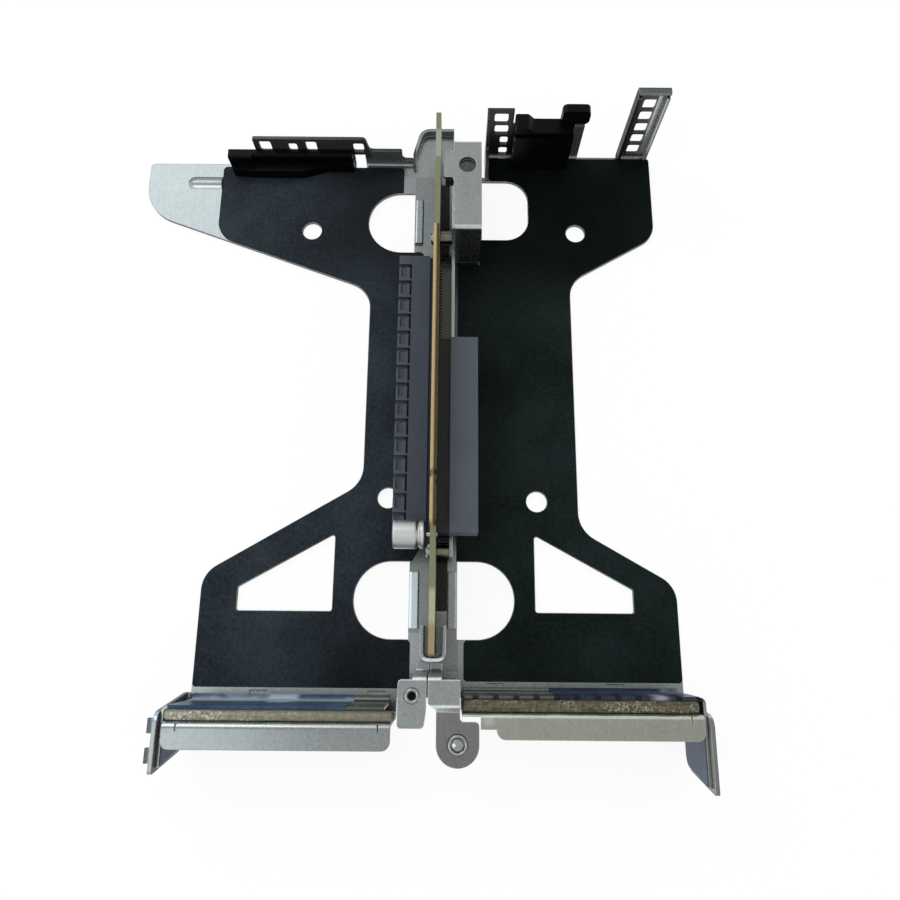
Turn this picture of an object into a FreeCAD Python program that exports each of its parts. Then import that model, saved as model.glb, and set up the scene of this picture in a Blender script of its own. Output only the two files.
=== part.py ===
import FreeCAD, Part
import math
import os

V = FreeCAD.Vector
os.makedirs("parts", exist_ok=True)

# Riser assembly lying on its tray: +X across, +Y toward the front, +Z away from the tray.
# The origin is on the tray's underside, below the middle plane of the riser board.

# Sheet stock
SHEET = 1.0
BEND = 0.8
FILM = 0.25
FILM_GAP = 0.15

# Part of a side that its two corner arcs may take up together
ARC_SHARE = 0.995

# Tray outline, left half
LEFT_SIDE_X = -67.4
LEFT_KNEE_Y = -52.7
LEFT_WAIST_X = -21.8
LEFT_WAIST_REAR_Y = -25.5
LEFT_WAIST_FRONT_Y = 38.1
WING_X = -97.6
WING_KNEE_Y = 65.8
WING_FRONT_Y = 84.4
WING_END_X = -60.6

# Tray outline, right half
RIGHT_SIDE_X = 70.2
RIGHT_KNEE_Y = -55.2
RIGHT_WAIST_X = 42.6
RIGHT_WAIST_REAR_Y = -39.2
RIGHT_WAIST_FRONT_Y = 41.5
RIGHT_FRONT_X = 70.9
RIGHT_SHOULDER_Y = 57.8
RIGHT_FRONT_Y = 88.2
CENTRE_FRONT_Y = 80.0
CENTRE_REAR_Y = -86.5
KNEE_R = 8.0
WAIST_R = 9.0
WING_R = 14.0
CORNER_R = 1.5

# Round-backed bead pressed in the wing
BEAD_X0 = -84.4
BEAD_Y = 77.0
BEAD_W = 4.6
BEAD_H = 0.9

# Finger windows: straight inner edge, rounded outer end
WINDOW_H = 22.0
WINDOW_FRONT_LEFT_INNER_X = -8.0
WINDOW_REAR_LEFT_INNER_X = -7.2
WINDOW_LEFT_OUTER_X = -23.2
WINDOW_FRONT_LEFT_Y = 62.7
WINDOW_REAR_Y = -59.8
WINDOW_REAR_RIGHT_INNER_X = 6.7
WINDOW_REAR_RIGHT_OUTER_X = 23.2
WINDOW_FRONT_RIGHT_INNER_X = 14.2
WINDOW_FRONT_RIGHT_OUTER_X = 29.5
WINDOW_FRONT_RIGHT_Y = 67.5
WINDOW_FRONT_RIGHT_R = 7.5
HEM_W = 2.8
HEM_L = 16.0

# Round holes: x, y
HOLE_R = 3.1
HOLES = [(-41.8, 59.3), (45.0, 59.1), (-14.1, -30.0), (30.3, -30.8)]

# Triangle windows in the rear corners
TRI_INNER = 29.3
TRI_LEFT_OUTER = 56.8
TRI_RIGHT_OUTER = 57.6
TRI_REAR_Y = -63.1
TRI_FRONT_Y = -40.8
TRI_STEP = 6.6
TRI_R = 0.8

# Front wall of the left half: one upright flange with a stepped top
FRONT_LEFT_Y = 84.9
FRONT_LEFT_X0 = -60.6
FRONT_STRIP_H = 13.4
FRONT_STRIP_X1 = -24.0
FRONT_LOW_H = 7.8
FRONT_LOW_X1 = -12.4
FRONT_LIP_H = 3.3
FRONT_STEP_R = 1.5
WINDOW_EDGE_R = 0.7
STRIP_WINDOWS = [(-56.9, 3.9, 12.1), (-48.0, 2.9, 11.2), (-41.9, 3.6, 12.1), (-26.5, 3.5, 11.4)]
STRIP_WINDOW_Z0 = 7.3
LOW_WINDOW_Z1 = 5.9
LOW_WINDOW_Y0 = 83.5

# Flat tongue at the front middle with a turned-up rim
NOSE_X0 = -8.9
NOSE_X1 = 4.8
NOSE_Y = 97.3
NOSE_LEAN = 2.5
NOSE_ROOT = 1.5
NOSE_R = 4.0

# Front walls of the right half
FRONT_RIGHT_Y = 88.5
LADDER_X0 = 16.2
LADDER_X1 = 23.6
LADDER_H = 22.8
LADDER_WINDOWS = [(17.5, 21.9, 16.9, 21.4), (17.8, 22.2, 12.1, 16.2),
                  (19.8, 22.4, 7.0, 10.8), (19.7, 22.5, 1.9, 5.6)]
RETURN_L = 10.0
RETURN_H = 9.0
RETURN_TOP_L = 4.0
RETURN_R = 1.0
BACKPLATE_X1 = 46.6
BACKPLATE_H = 16.2
POST_X0 = 59.8
POST_X1 = 69.4
POST_H = 33.0
POST_RUNGS = 5
POST_RUNG_W = 4.0
POST_RUNG_H = 4.4
POST_RUNG_PITCH = 5.2
POST_RUNG_Z0 = 2.9
POST_EDGE = 2.4
POST_LIP = 2.0

# Rear walls, with an outward top flange and a side ear each
REAR_LEFT_Y = -90.9
REAR_RIGHT_Y = -88.3
REAR_H = 22.0
REAR_LEFT_X0 = -67.0
REAR_LEFT_X1 = -10.0
REAR_RIGHT_X0 = 7.9
REAR_RIGHT_X1 = 68.6
FLANGE_LEFT_D = 5.7
FLANGE_RIGHT_D = 5.4
FLANGE_R = 2.2
NECK_GAP = 0.4
NECK_L = 4.0
NECK_D = 3.0
FLANGE_SLIT_W = 0.3
FLANGE_SLIT_D = 1.4
FLANGE_SLIT_INSET = 3.3
SLOT_INSET = 5.0
SLOT_Z0 = 4.6
SLOT_Z1 = 17.0
EAR_LEFT_X = -69.3
EAR_RIGHT_X = 70.9
EAR_FRONT_Y = -85.6
EAR_LEAN = 3.4
EAR_LEFT_END_Y = -103.5
EAR_RIGHT_END_Y = -107.2
EAR_RAKE = 3.2
EAR_Z0 = 2.0
EAR_TOP_R = 3.0
HOOK_L = 3.6
HOOK_REACH = 1.2
HOOK_RISE = 2.0
HOOK_YS = [-92.0, -99.0]
RELIEF_W = 5.0
RELIEF_D = 0.9
RELIEF_H = 0.5
RELIEF_LEFT_XS = [-48.6, -15.6]
RELIEF_RIGHT_XS = [17.5, 51.1]

# Insulating films: inner edges
FILM_FRONT_INNER_X = -11.9
FILM_MID_INNER_X = -4.7
FILM_REAR_INNER_X = -6.6
FILM_FRONT_Y = 83.3
FILM_REAR_Y = -84.1
FILM_WING_X = -72.9
FILM_RIGHT_MID_X = 6.4
FILM_RIGHT_REAR_X = 8.6
FILM_RIGHT_FRONT_X = 16.6
FILM_RIGHT_FRONT_Y = 87.4
FILM_RIGHT_REAR_Y = -82.1
FILM_STEP = 3.2
FILM_CORNER_R = 1.0

# Riser board
BOARD_T = 1.57
BOARD_Z0 = 2.4
BOARD_Z1 = 24.6
BOARD_REAR_Y = -74.6
BOARD_FRONT_Y = 86.7
TONGUE_Z = 32.0
TONGUE_Y0 = -41.7
TONGUE_L = 85.2
TONGUE_KEY_Y = 11.65
TONGUE_KEY_W = 1.9
TONGUE_KEY_D = 7.0
TONGUE_CHAMFER = 0.5
SHOULDER_R = 1.0

# Card slots
SLOT_H = 11.25
SLOT_W = 7.5
LEFT_SLOT_L = 89.0
LEFT_SLOT_Y0 = -43.5
LEFT_CARD_Z = 6.05
RIGHT_SLOT_L = 56.0
RIGHT_SLOT_Y0 = -43.0
RIGHT_CARD_Z = 18.0
CARD_GROOVE_W = 1.8
CARD_GROOVE_D = 8.2
CARD_GROOVE_END = 1.9
CARD_KEY_Y = 13.3
CARD_KEY_W = 1.5
TOOTH_L = 4.4
TOOTH_W = 3.4
TOOTH_H = 1.1
TOOTH_PITCH = 5.6
TOOTH_COUNT = 15
TOOTH_END = 2.1
TOOTH_CHANNEL = 0.6
TOOTH_BRIDGE = 0.6
TOOTH_POCKET_W = 1.6
TOOTH_POCKET_H = 0.6
TOOTH_LIP = 0.7
LEFT_FOOT_STEP_X = 1.6
RIGHT_FOOT_STEP_X = 3.5
FOOT_STEP_Z = 1.2
HOUSING_EDGE_R = 0.4
CONTACT_PITCH = 1.0
CONTACT_W = 0.5
CONTACT_T = 0.35
CONTACT_L = 6.4
CONTACT_END = 2.6
CONTACT_ROOT = 1.0

# Capacitor on the left face of the board
CAP_R = 3.9
CAP_L = 8.5
CAP_Y = -43.5
CAP_Z = 20.2
CAP_SEAL_L = 0.4
CAP_SEAL_R = 3.3
CAP_CRIMP_R = 0.45
CAP_CRIMP_X = 1.6
CAP_STANDOFF = 1.1
LEAD_R = 0.3
LEAD_PITCH = 3.5

# Board bracket: low wall beside the board, box tab in front
WALL_X = 4.3
WALL_H = 13.0
WALL_REAR_L = 2.2
WALL_FRONT_L = 9.4
BOX_X1 = 13.2
BOX_Y0 = 47.4
BOX_Y1 = 78.0
BOX_Z = 23.0
BOX_EAR_X0 = 1.7
BOX_EAR_Y0 = 64.6
BOX_EAR_Y1 = 74.0
BOX_EAR_R = 0.5
BOX_EAR_LIP = 4.6
BOX_SLOPE = 3.0
BOX_FOOT = 5.0
DIMPLE_R = 2.65
DIMPLE_X = 8.9
DIMPLE_Y = 69.0
DIMPLE_D = 1.1

# Board fastening: a screw past each end of the left slot
SCREW_FRONT_GAP = 7.1
SCREW_REAR_GAP = 2.9
SCREW_Z = 8.4
SCREW_R = 1.2
SCREW_HEAD_R = 2.3
SCREW_HEAD_H = 1.5
SCREW_CLEAR = 0.05
BOARD_HOLE_R = 1.6
STANDOFF_R = 2.2

# Guide that holds the rear end of the board
GUIDE_X0 = -3.4
GUIDE_X1 = 3.7
GUIDE_REAR_Y = -76.6
GUIDE_ARM = 9.6
GUIDE_H = 12.0
GUIDE_R = 1.4

# Rear bracket with thumb tab, and the nut plate beside it
POST_Y = -79.4
FLAP_Z = 24.0
FLAP_X0 = -0.7
FLAP_X1 = 7.4
FLAP_L = 6.8
REAR_POST_X1 = 2.7
REAR_FOOT = 2.4
JOGGLE = 1.8
JOGGLE_RUN = 1.6
THUMB_X = 6.8
THUMB_L = 9.7
THUMB_R = 5.4
THUMB_SHOULDER_L = 4.4
TAB_EDGE_R = 1.0
PLATE_X0 = -8.3
PLATE_X1 = -1.1
PLATE_L = 12.6
PLATE_LEG_X0 = -4.6
PLATE_TAPER = 0.6
PLATE_TAPER_L = 4.0
NUT_X = -4.7
NUT_BACK = 4.9
NUT_R = 1.9
NUT_BORE_R = 1.05
NUT_BORE_L = 3.4
NUT_CAP = 0.7
NUT_PROUD = 0.3
SLEEVE_R = 2.5
SLEEVE_BORE_R = 1.7
SLEEVE_PROUD = 0.4
CAPTIVE_R = 1.5
CAPTIVE_PROUD = 0.3
CAPTIVE_HEAD_R = 3.2
CAPTIVE_HEAD_H = 1.8
DRIVE_L = 2.2
DRIVE_W = 0.5
DRIVE_D = 0.7
FIT = 0.1

# Slot covers, their protective film and the shielding gaskets
COVER_T = 0.8
COVER_LEFT_X1 = -11.8
COVER_RIGHT_X0 = 8.6
COVER_TOP_GAP = 2.0
COVER_LEFT_FOOT = 1.6
COVER_RIGHT_FOOT = 0.9
COVER_FOOT_BEND = 0.7
COVER_TAB_Z0 = 3.2
COVER_TAB_END = 1.2
COVER_WINDOW_W = 1.3
COVER_WINDOW_H = 2.6
COVER_WINDOW_DROP = 5.4
COVER_WINDOW_PITCH = 4.7
COVER_WINDOW_END = 4.0
BLUE_T = 0.15
BLUE_LEFT_X1 = -21.6
BLUE_RIGHT_X0 = 32.4
BLUE_EDGE = 0.4
GASKET_LEFT_W = 2.6
GASKET_RIGHT_W = 3.0
GASKET_H = 4.2
GASKET_R = 0.7
GASKET_END = 0.8
GASKET_GAP = 0.1

# Plastic card retainers on the front walls
RETAINER_GAP = 0.1
RETAINER_R = 0.7
LEFT_RET_X0 = -69.4
LEFT_RET_X1 = -28.6
LEFT_RET_BLOCK_X1 = -61.6
LEFT_RET_Y0 = 79.0
LEFT_RET_Y1 = 81.4
LEFT_RET_FOOT_L = 16.0
LEFT_RET_SLOPE_L = 8.0
LEFT_RET_H = 5.0
LEFT_RET_BAR_H = 8.8
LEFT_RET_BAR_D = 2.6
RIGHT_RET_X0 = 24.0
RIGHT_RET_X1 = 42.6
RIGHT_RET_D = 5.4
RIGHT_RET_H = 19.6
RIGHT_RET_NECK_X = 28.0
RIGHT_RET_STEP = 2.0
KNOB_X0 = 38.2
KNOB_X1 = 46.8
KNOB_Z0 = 20.6
KNOB_Z1 = 26.1
KNOB_D = 2.8
KNOB_R = 1.6
EDGE_GROOVE_W = 1.9
EDGE_GROOVE_D = 1.6


def put(plane, a, b, c):
    """Point with in-plane coordinates a, b and distance c from the named plane."""
    if plane == "xy":
        return V(a, b, c)
    if plane == "xz":
        return V(a, c, b)
    return V(c, a, b)


def corner_cuts(points):
    """Length that each corner's arc takes from its sides, kept within the sides it shares."""
    count = len(points)
    wants, halves, sides = [], [], []
    for i, point in enumerate(points):
        a, b = point[0], point[1]
        pa, pb = points[i - 1][:2]
        na, nb = points[(i + 1) % count][:2]
        la, lb = math.hypot(pa - a, pb - b), math.hypot(na - a, nb - b)
        turn = ((pa - a) * (na - a) + (pb - b) * (nb - b)) / (la * lb)
        half = math.acos(max(-1.0, min(1.0, turn))) / 2
        r = point[2] if len(point) > 2 else 0.0
        wants.append(max(r, 0.0) / math.tan(half))
        halves.append(half)
        sides.append(lb)
    cuts = []
    for i, want in enumerate(wants):
        before = sides[i - 1] / max(wants[i - 1] + want, 1e-9)
        after = sides[i] / max(want + wants[(i + 1) % count], 1e-9)
        cuts.append(want * min(1.0, ARC_SHARE * before, ARC_SHARE * after))
    return cuts, halves


def outline(points, plane, c):
    """Closed wire through points (a, b) or (a, b, radius), with an arc at each radius."""
    corners = []
    count = len(points)
    cuts, halves = corner_cuts(points)
    for i, point in enumerate(points):
        a, b = point[0], point[1]
        cut = cuts[i]
        if cut <= 1e-6:
            corners.append(((a, b), None, (a, b)))
            continue
        pa, pb = points[i - 1][:2]
        na, nb = points[(i + 1) % count][:2]
        la, lb = math.hypot(pa - a, pb - b), math.hypot(na - a, nb - b)
        ua, ub = (pa - a) / la, (pb - b) / la
        va, vb = (na - a) / lb, (nb - b) / lb
        r = cut * math.tan(halves[i])
        ma, mb = ua + va, ub + vb
        size = math.hypot(ma, mb)
        out = r / math.sin(halves[i]) - r
        corners.append(((a + ua * cut, b + ub * cut),
                        (a + ma / size * out, b + mb / size * out),
                        (a + va * cut, b + vb * cut)))
    edges = []
    for i, (start, middle, end) in enumerate(corners):
        if middle:
            edges.append(Part.Arc(put(plane, *start, c), put(plane, *middle, c),
                                  put(plane, *end, c)).toShape())
        after = corners[(i + 1) % count][0]
        if math.hypot(after[0] - end[0], after[1] - end[1]) > 1e-6:
            edges.append(Part.makeLine(put(plane, *end, c), put(plane, *after, c)))
    return Part.Wire(edges)


def prism(points, plane, c0, c1):
    """Outline pulled from distance c0 to c1 along the plane's normal."""
    face = Part.Face(outline(points, plane, c0))
    return face.extrude(put(plane, 0, 0, c1 - c0))


def strip(path, t, r, plane, c0, c1):
    """Folded sheet: one face follows path, thickness t lies to its left (right if negative)."""
    count = len(path)
    normals = []
    for (a0, b0), (a1, b1) in zip(path, path[1:]):
        size = math.hypot(a1 - a0, b1 - b0)
        normals.append((-(b1 - b0) / size, (a1 - a0) / size))
    near, far = [], []
    for i, (a, b) in enumerate(path):
        if i in (0, count - 1):
            na, nb = normals[0] if i == 0 else normals[-1]
            near.append((a, b))
            far.append((a + na * t, b + nb * t))
            continue
        (pa, pb), (qa, qb) = normals[i - 1], normals[i]
        share = t / (1 + pa * qa + pb * qb)
        turn = (pa * qb - pb * qa) * t
        near.append((a, b, r + abs(t) if turn > 0 else r))
        far.append((a + (pa + qa) * share, b + (pb + qb) * share, r if turn > 0 else r + abs(t)))
    return prism(near + far[::-1], plane, c0, c1)


def box(x0, x1, y0, y1, z0, z1):
    """Block between the given limits."""
    return Part.makeBox(x1 - x0, y1 - y0, z1 - z0, V(x0, y0, z0))


def rod(x, y, z, r, length, axis):
    """Round bar from a start point along an axis."""
    return Part.makeCylinder(r, length, V(x, y, z), axis)


def cut_all(shape, tools):
    """Shape with every tool taken away."""
    return shape.cut(tools) if tools else shape


def fuse_all(shapes):
    """One solid from overlapping or touching shapes, with split faces joined."""
    return shapes[0].fuse(shapes[1:]).removeSplitter()


def save(name, shapes):
    """Write one node, a single solid or a group of separate solids."""
    shape = shapes if not isinstance(shapes, list) else Part.makeCompound(shapes)
    shape.exportStep("parts/%s.step" % name)


UP, DOWN = V(0, 0, 1), V(0, 0, -1)
RIGHT, LEFT = V(1, 0, 0), V(-1, 0, 0)
FOLD = SHEET + BEND
DEEP = 2 * SHEET + BEAD_H
BOARD_X = BOARD_T / 2
REAR_LEFT_OUT = REAR_LEFT_Y - SHEET
REAR_RIGHT_OUT = REAR_RIGHT_Y - SHEET
FRONT_LEFT_OUT = FRONT_LEFT_Y + SHEET
FRONT_RIGHT_OUT = FRONT_RIGHT_Y + SHEET
NECK_X0 = THUMB_X + THUMB_R + NECK_GAP
NECK_X1 = NECK_X0 + NECK_L
FILM_SIDE_X = LEFT_SIDE_X + FILM_GAP
SCREW_FRONT_Y = LEFT_SLOT_Y0 + LEFT_SLOT_L + SCREW_FRONT_GAP
SCREW_REAR_Y = LEFT_SLOT_Y0 - SCREW_REAR_GAP
SCREWS = [(SCREW_FRONT_Y, SCREW_Z), (SCREW_REAR_Y, SCREW_Z)]
WALL_Y0 = SCREW_REAR_Y - WALL_REAR_L
WALL_Y1 = SCREW_FRONT_Y + WALL_FRONT_L
COVER_Z1 = REAR_H - COVER_TOP_GAP
FLAP_REAR_Y = POST_Y - FLAP_L
THUMB_Y = FLAP_REAR_Y - THUMB_L
THUMB_SHOULDER_Y = FLAP_REAR_Y - THUMB_SHOULDER_L
PLATE_REAR_Y = POST_Y - PLATE_L
NUT_Y = POST_Y - NUT_BACK
COVER_WINDOW_Z = COVER_Z1 - COVER_WINDOW_DROP


def window_points(inner, outer, y, r, grow):
    """Finger window: straight inner edge, rounded outer corners."""
    side = 1 if outer > inner else -1
    half = WINDOW_H / 2 + grow
    edge = outer + side * grow
    return [(inner, y - half), (edge, y - half, r + grow), (edge, y + half, r + grow),
            (inner, y + half)]


def tri_points(side, grow):
    """Corner window with its long side toward the rear and a sloping front."""
    reach = TRI_LEFT_OUTER if side < 0 else TRI_RIGHT_OUTER
    inner, outer = side * (TRI_INNER - grow), side * (reach + grow)
    return [(inner, TRI_REAR_Y - grow, TRI_R), (outer, TRI_REAR_Y - grow, TRI_R),
            (outer, TRI_REAR_Y + TRI_STEP + grow, TRI_R), (inner, TRI_FRONT_Y + grow, TRI_R)]


def tray_windows(grow, inner_reach):
    """Tools for every opening in the tray floor, grown for the films."""
    half_round = WINDOW_H / 2
    sets = [(WINDOW_FRONT_LEFT_INNER_X, WINDOW_LEFT_OUTER_X, WINDOW_FRONT_LEFT_Y, half_round),
            (WINDOW_REAR_LEFT_INNER_X, WINDOW_LEFT_OUTER_X, WINDOW_REAR_Y, half_round),
            (WINDOW_REAR_RIGHT_INNER_X, WINDOW_REAR_RIGHT_OUTER_X, WINDOW_REAR_Y, half_round),
            (WINDOW_FRONT_RIGHT_INNER_X, WINDOW_FRONT_RIGHT_OUTER_X, WINDOW_FRONT_RIGHT_Y,
             WINDOW_FRONT_RIGHT_R)]
    tools = []
    for inner, outer, y, r in sets:
        side = 1 if outer > inner else -1
        points = window_points(inner - side * inner_reach, outer, y, r, grow)
        tools.append(prism(points, "xy", -1, DEEP))
    for x, y in HOLES:
        tools.append(rod(x, y, -1, HOLE_R + grow, DEEP + 1, UP))
    for side in (-1, 1):
        tools.append(prism(tri_points(side, grow), "xy", -1, DEEP))
    return tools


def floor_points():
    """Outline of the tray floor with its wing, up to the fold lines."""
    front_left = FRONT_LEFT_OUT - FOLD
    front_right = FRONT_RIGHT_OUT - FOLD
    return [(LEFT_SIDE_X, REAR_LEFT_OUT + FOLD), (LEFT_SIDE_X, LEFT_KNEE_Y, KNEE_R),
            (LEFT_WAIST_X, LEFT_WAIST_REAR_Y, WAIST_R), (LEFT_WAIST_X, LEFT_WAIST_FRONT_Y, WAIST_R),
            (WING_X, WING_KNEE_Y, WING_R), (WING_X, WING_FRONT_Y, CORNER_R),
            (WING_END_X, WING_FRONT_Y), (WING_END_X, front_left), (NOSE_X0, front_left),
            (NOSE_X1, front_left), (NOSE_X1, CENTRE_FRONT_Y), (LADDER_X0 - SHEET, CENTRE_FRONT_Y),
            (LADDER_X0 - SHEET, front_right), (BACKPLATE_X1, front_right),
            (BACKPLATE_X1, RIGHT_FRONT_Y), (RIGHT_FRONT_X, RIGHT_FRONT_Y, CORNER_R),
            (RIGHT_FRONT_X, RIGHT_SHOULDER_Y, KNEE_R), (RIGHT_WAIST_X, RIGHT_WAIST_FRONT_Y, WAIST_R),
            (RIGHT_WAIST_X, RIGHT_WAIST_REAR_Y, WAIST_R), (RIGHT_SIDE_X, RIGHT_KNEE_Y, KNEE_R),
            (RIGHT_SIDE_X, REAR_RIGHT_OUT + FOLD), (REAR_RIGHT_X0, REAR_RIGHT_OUT + FOLD),
            (REAR_RIGHT_X0, CENTRE_REAR_Y), (REAR_LEFT_X1, CENTRE_REAR_Y),
            (REAR_LEFT_X1, REAR_LEFT_OUT + FOLD)]


def front_left_wall():
    """Stepped front flange: perforated strip, low part and lip."""
    path = [(FRONT_LEFT_OUT - 2 * FOLD, 0), (FRONT_LEFT_OUT, 0), (FRONT_LEFT_OUT, FRONT_STRIP_H)]
    wall = strip(path, SHEET, BEND, "yz", FRONT_LEFT_X0, NOSE_X0)
    face = [(FRONT_LEFT_X0, -1), (NOSE_X0, -1), (NOSE_X0, FRONT_LIP_H, WINDOW_EDGE_R),
            (FRONT_LOW_X1, FRONT_LIP_H, FRONT_STEP_R), (FRONT_LOW_X1, FRONT_LOW_H, WINDOW_EDGE_R),
            (FRONT_STRIP_X1 + SHEET, FRONT_LOW_H, FRONT_STEP_R),
            (FRONT_STRIP_X1, FRONT_STRIP_H, FRONT_STEP_R), (FRONT_LEFT_X0, FRONT_STRIP_H, WINDOW_EDGE_R)]
    y0, y1 = FRONT_LEFT_Y - 1, FRONT_LEFT_OUT + 1
    wall = wall.common(prism(face, "xz", FRONT_LEFT_OUT - 2 * FOLD - 1, y1))
    tools = []
    for x, w, z1 in STRIP_WINDOWS:
        x0, x1 = x - w / 2, x + w / 2
        hole = [(x0, STRIP_WINDOW_Z0, WINDOW_EDGE_R), (x1, STRIP_WINDOW_Z0, WINDOW_EDGE_R),
                (x1, z1, WINDOW_EDGE_R), (x0, z1, WINDOW_EDGE_R)]
        tools.append(prism(hole, "xz", y0, y1))
    return cut_all(wall, tools)


def nose_points(inset, x1):
    """Plan of the front tongue, drawn in by a thickness along its left and front edges."""
    left = NOSE_X0 + inset
    root = FRONT_LEFT_OUT + NOSE_ROOT
    front = NOSE_Y - inset
    rear = FRONT_LEFT_Y - FOLD
    return [(left, rear), (left, root, NOSE_R), (left + NOSE_LEAN, front, NOSE_R - inset),
            (x1, front), (x1, rear)]


def nose():
    """Flat tongue at the front middle with a rim round its left and front edges."""
    outer = prism(nose_points(0, NOSE_X1), "xy", 0, FRONT_LIP_H)
    return outer.cut(prism(nose_points(SHEET, NOSE_X1 + 1), "xy", SHEET, FRONT_LIP_H + 1))


def right_wall(x0, x1, height):
    """Upright front flange of the right half."""
    path = [(FRONT_RIGHT_OUT - 2 * FOLD, 0), (FRONT_RIGHT_OUT, 0), (FRONT_RIGHT_OUT, height)]
    return strip(path, SHEET, BEND, "yz", x0, x1)


def front_right_walls():
    """Ladder strip with its side return, plain back plate, and the tall rung post."""
    ladder = right_wall(LADDER_X0 - SHEET, LADDER_X1, LADDER_H)
    y0, y1 = FRONT_RIGHT_Y - 1, FRONT_RIGHT_OUT + 1
    r = WINDOW_EDGE_R
    tools = [prism([(a, c, r), (b, c, r), (b, d, r), (a, d, r)], "xz", y0, y1)
             for a, b, c, d in LADDER_WINDOWS]
    ladder = cut_all(ladder, tools)
    back = right_wall(LADDER_X1, BACKPLATE_X1, BACKPLATE_H)
    rear = FRONT_RIGHT_OUT - RETURN_L
    step = FRONT_RIGHT_OUT - RETURN_TOP_L
    side = [(rear, 0), (FRONT_RIGHT_OUT - FOLD, 0), (FRONT_RIGHT_Y, FOLD), (FRONT_RIGHT_Y, LADDER_H),
            (step, LADDER_H, RETURN_R), (step, RETURN_H, RETURN_R), (rear, RETURN_H, RETURN_R)]
    turn = prism(side, "yz", LADDER_X0 - SHEET, LADDER_X0)
    path = [(FRONT_RIGHT_OUT - 2 * FOLD, 0), (FRONT_RIGHT_OUT, 0), (FRONT_RIGHT_OUT, POST_H),
            (FRONT_RIGHT_OUT - SHEET - POST_LIP, POST_H)]
    post = strip(path, SHEET, BEND, "yz", POST_X0, POST_X1)
    middle = (POST_X0 + POST_X1) / 2
    tools = []
    for i in range(POST_RUNGS):
        z = POST_RUNG_Z0 + i * POST_RUNG_PITCH
        a, b = middle - POST_RUNG_W / 2, middle + POST_RUNG_W / 2
        tools.append(prism([(a, z, r), (b, z, r), (b, z + POST_RUNG_H, r), (a, z + POST_RUNG_H, r)],
                           "xz", y0, y1))
    post = cut_all(post, tools)
    rims = []
    for x in (POST_X0, POST_X1 - SHEET):
        rims.append(box(x, x + SHEET, FRONT_RIGHT_Y - POST_EDGE, FRONT_RIGHT_Y + SHEET / 2,
                        FOLD + 1, POST_H - FOLD))
    return [ladder, back, turn, post] + rims


def flange_slits(out, places):
    """Short relief slits in the fold of a rear flange."""
    return [box(x, x + FLANGE_SLIT_W, out - FLANGE_SLIT_D, out + SHEET / 2, REAR_H - FOLD, REAR_H + 1)
            for x in places]


def round_corner(x, y, r, sx, sy):
    """Tool that rounds an outer corner of a flange."""
    block = box(min(x, x + sx * r), max(x, x + sx * r), min(y, y + sy * r), max(y, y + sy * r),
                REAR_H - SHEET - 1, REAR_H + 1)
    return block.cut(rod(x + sx * r, y + sy * r, REAR_H - SHEET - 2, r, SHEET + 4, UP))


def rear_wall(inner, x0, x1, depth, flange_x0):
    """Rear wall: folded up from the floor, slot window, top folded outward from flange_x0 on."""
    out = inner - SHEET
    path = [(out + 2 * FOLD, 0), (out, 0), (out, REAR_H - SHEET), (out - depth, REAR_H - SHEET)]
    wall = strip(path, -SHEET, BEND, "yz", x0, x1)
    tip = out - depth
    tools = [box(x0 + SLOT_INSET, x1 - SLOT_INSET, out - 1, inner + 1, SLOT_Z0, SLOT_Z1),
             round_corner(flange_x0, tip, FLANGE_R, 1, 1), round_corner(x1, tip, FLANGE_R, -1, 1)]
    slits = [x1 - FLANGE_SLIT_INSET]
    if flange_x0 == x0:
        slits.append(x0 + FLANGE_SLIT_INSET)
    return cut_all(wall, tools + flange_slits(out, slits))


def ear(outer, side, end, wall_out):
    """Side ear: folded up from the floor's edge, leaning front edge and raked rear end."""
    inner = outer - side * 2 * FOLD
    sheet = strip([(inner, 0), (outer, 0), (outer, REAR_H)], side * SHEET, BEND, "xz", end, EAR_FRONT_Y)
    root = wall_out + FOLD
    points = [(EAR_FRONT_Y, -1), (EAR_FRONT_Y, SHEET), (EAR_FRONT_Y - EAR_LEAN, REAR_H, EAR_TOP_R),
              (end, REAR_H, WINDOW_EDGE_R), (end + EAR_RAKE, EAR_Z0, EAR_TOP_R), (root, EAR_Z0), (root, -1)]
    return sheet.common(prism(points, "yz", min(inner, outer) - 1, max(inner, outer) + 1))


def ear_hooks():
    """Two curled catches on the top edge of the left ear."""
    shapes = []
    inner = EAR_LEFT_X + SHEET
    for y in HOOK_YS:
        path = [(inner, REAR_H - HOOK_RISE), (inner, REAR_H), (inner - SHEET - HOOK_REACH, REAR_H)]
        shapes.append(strip(path, SHEET, BEND / 2, "xz", y - HOOK_L / 2, y + HOOK_L / 2))
    return shapes


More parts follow.
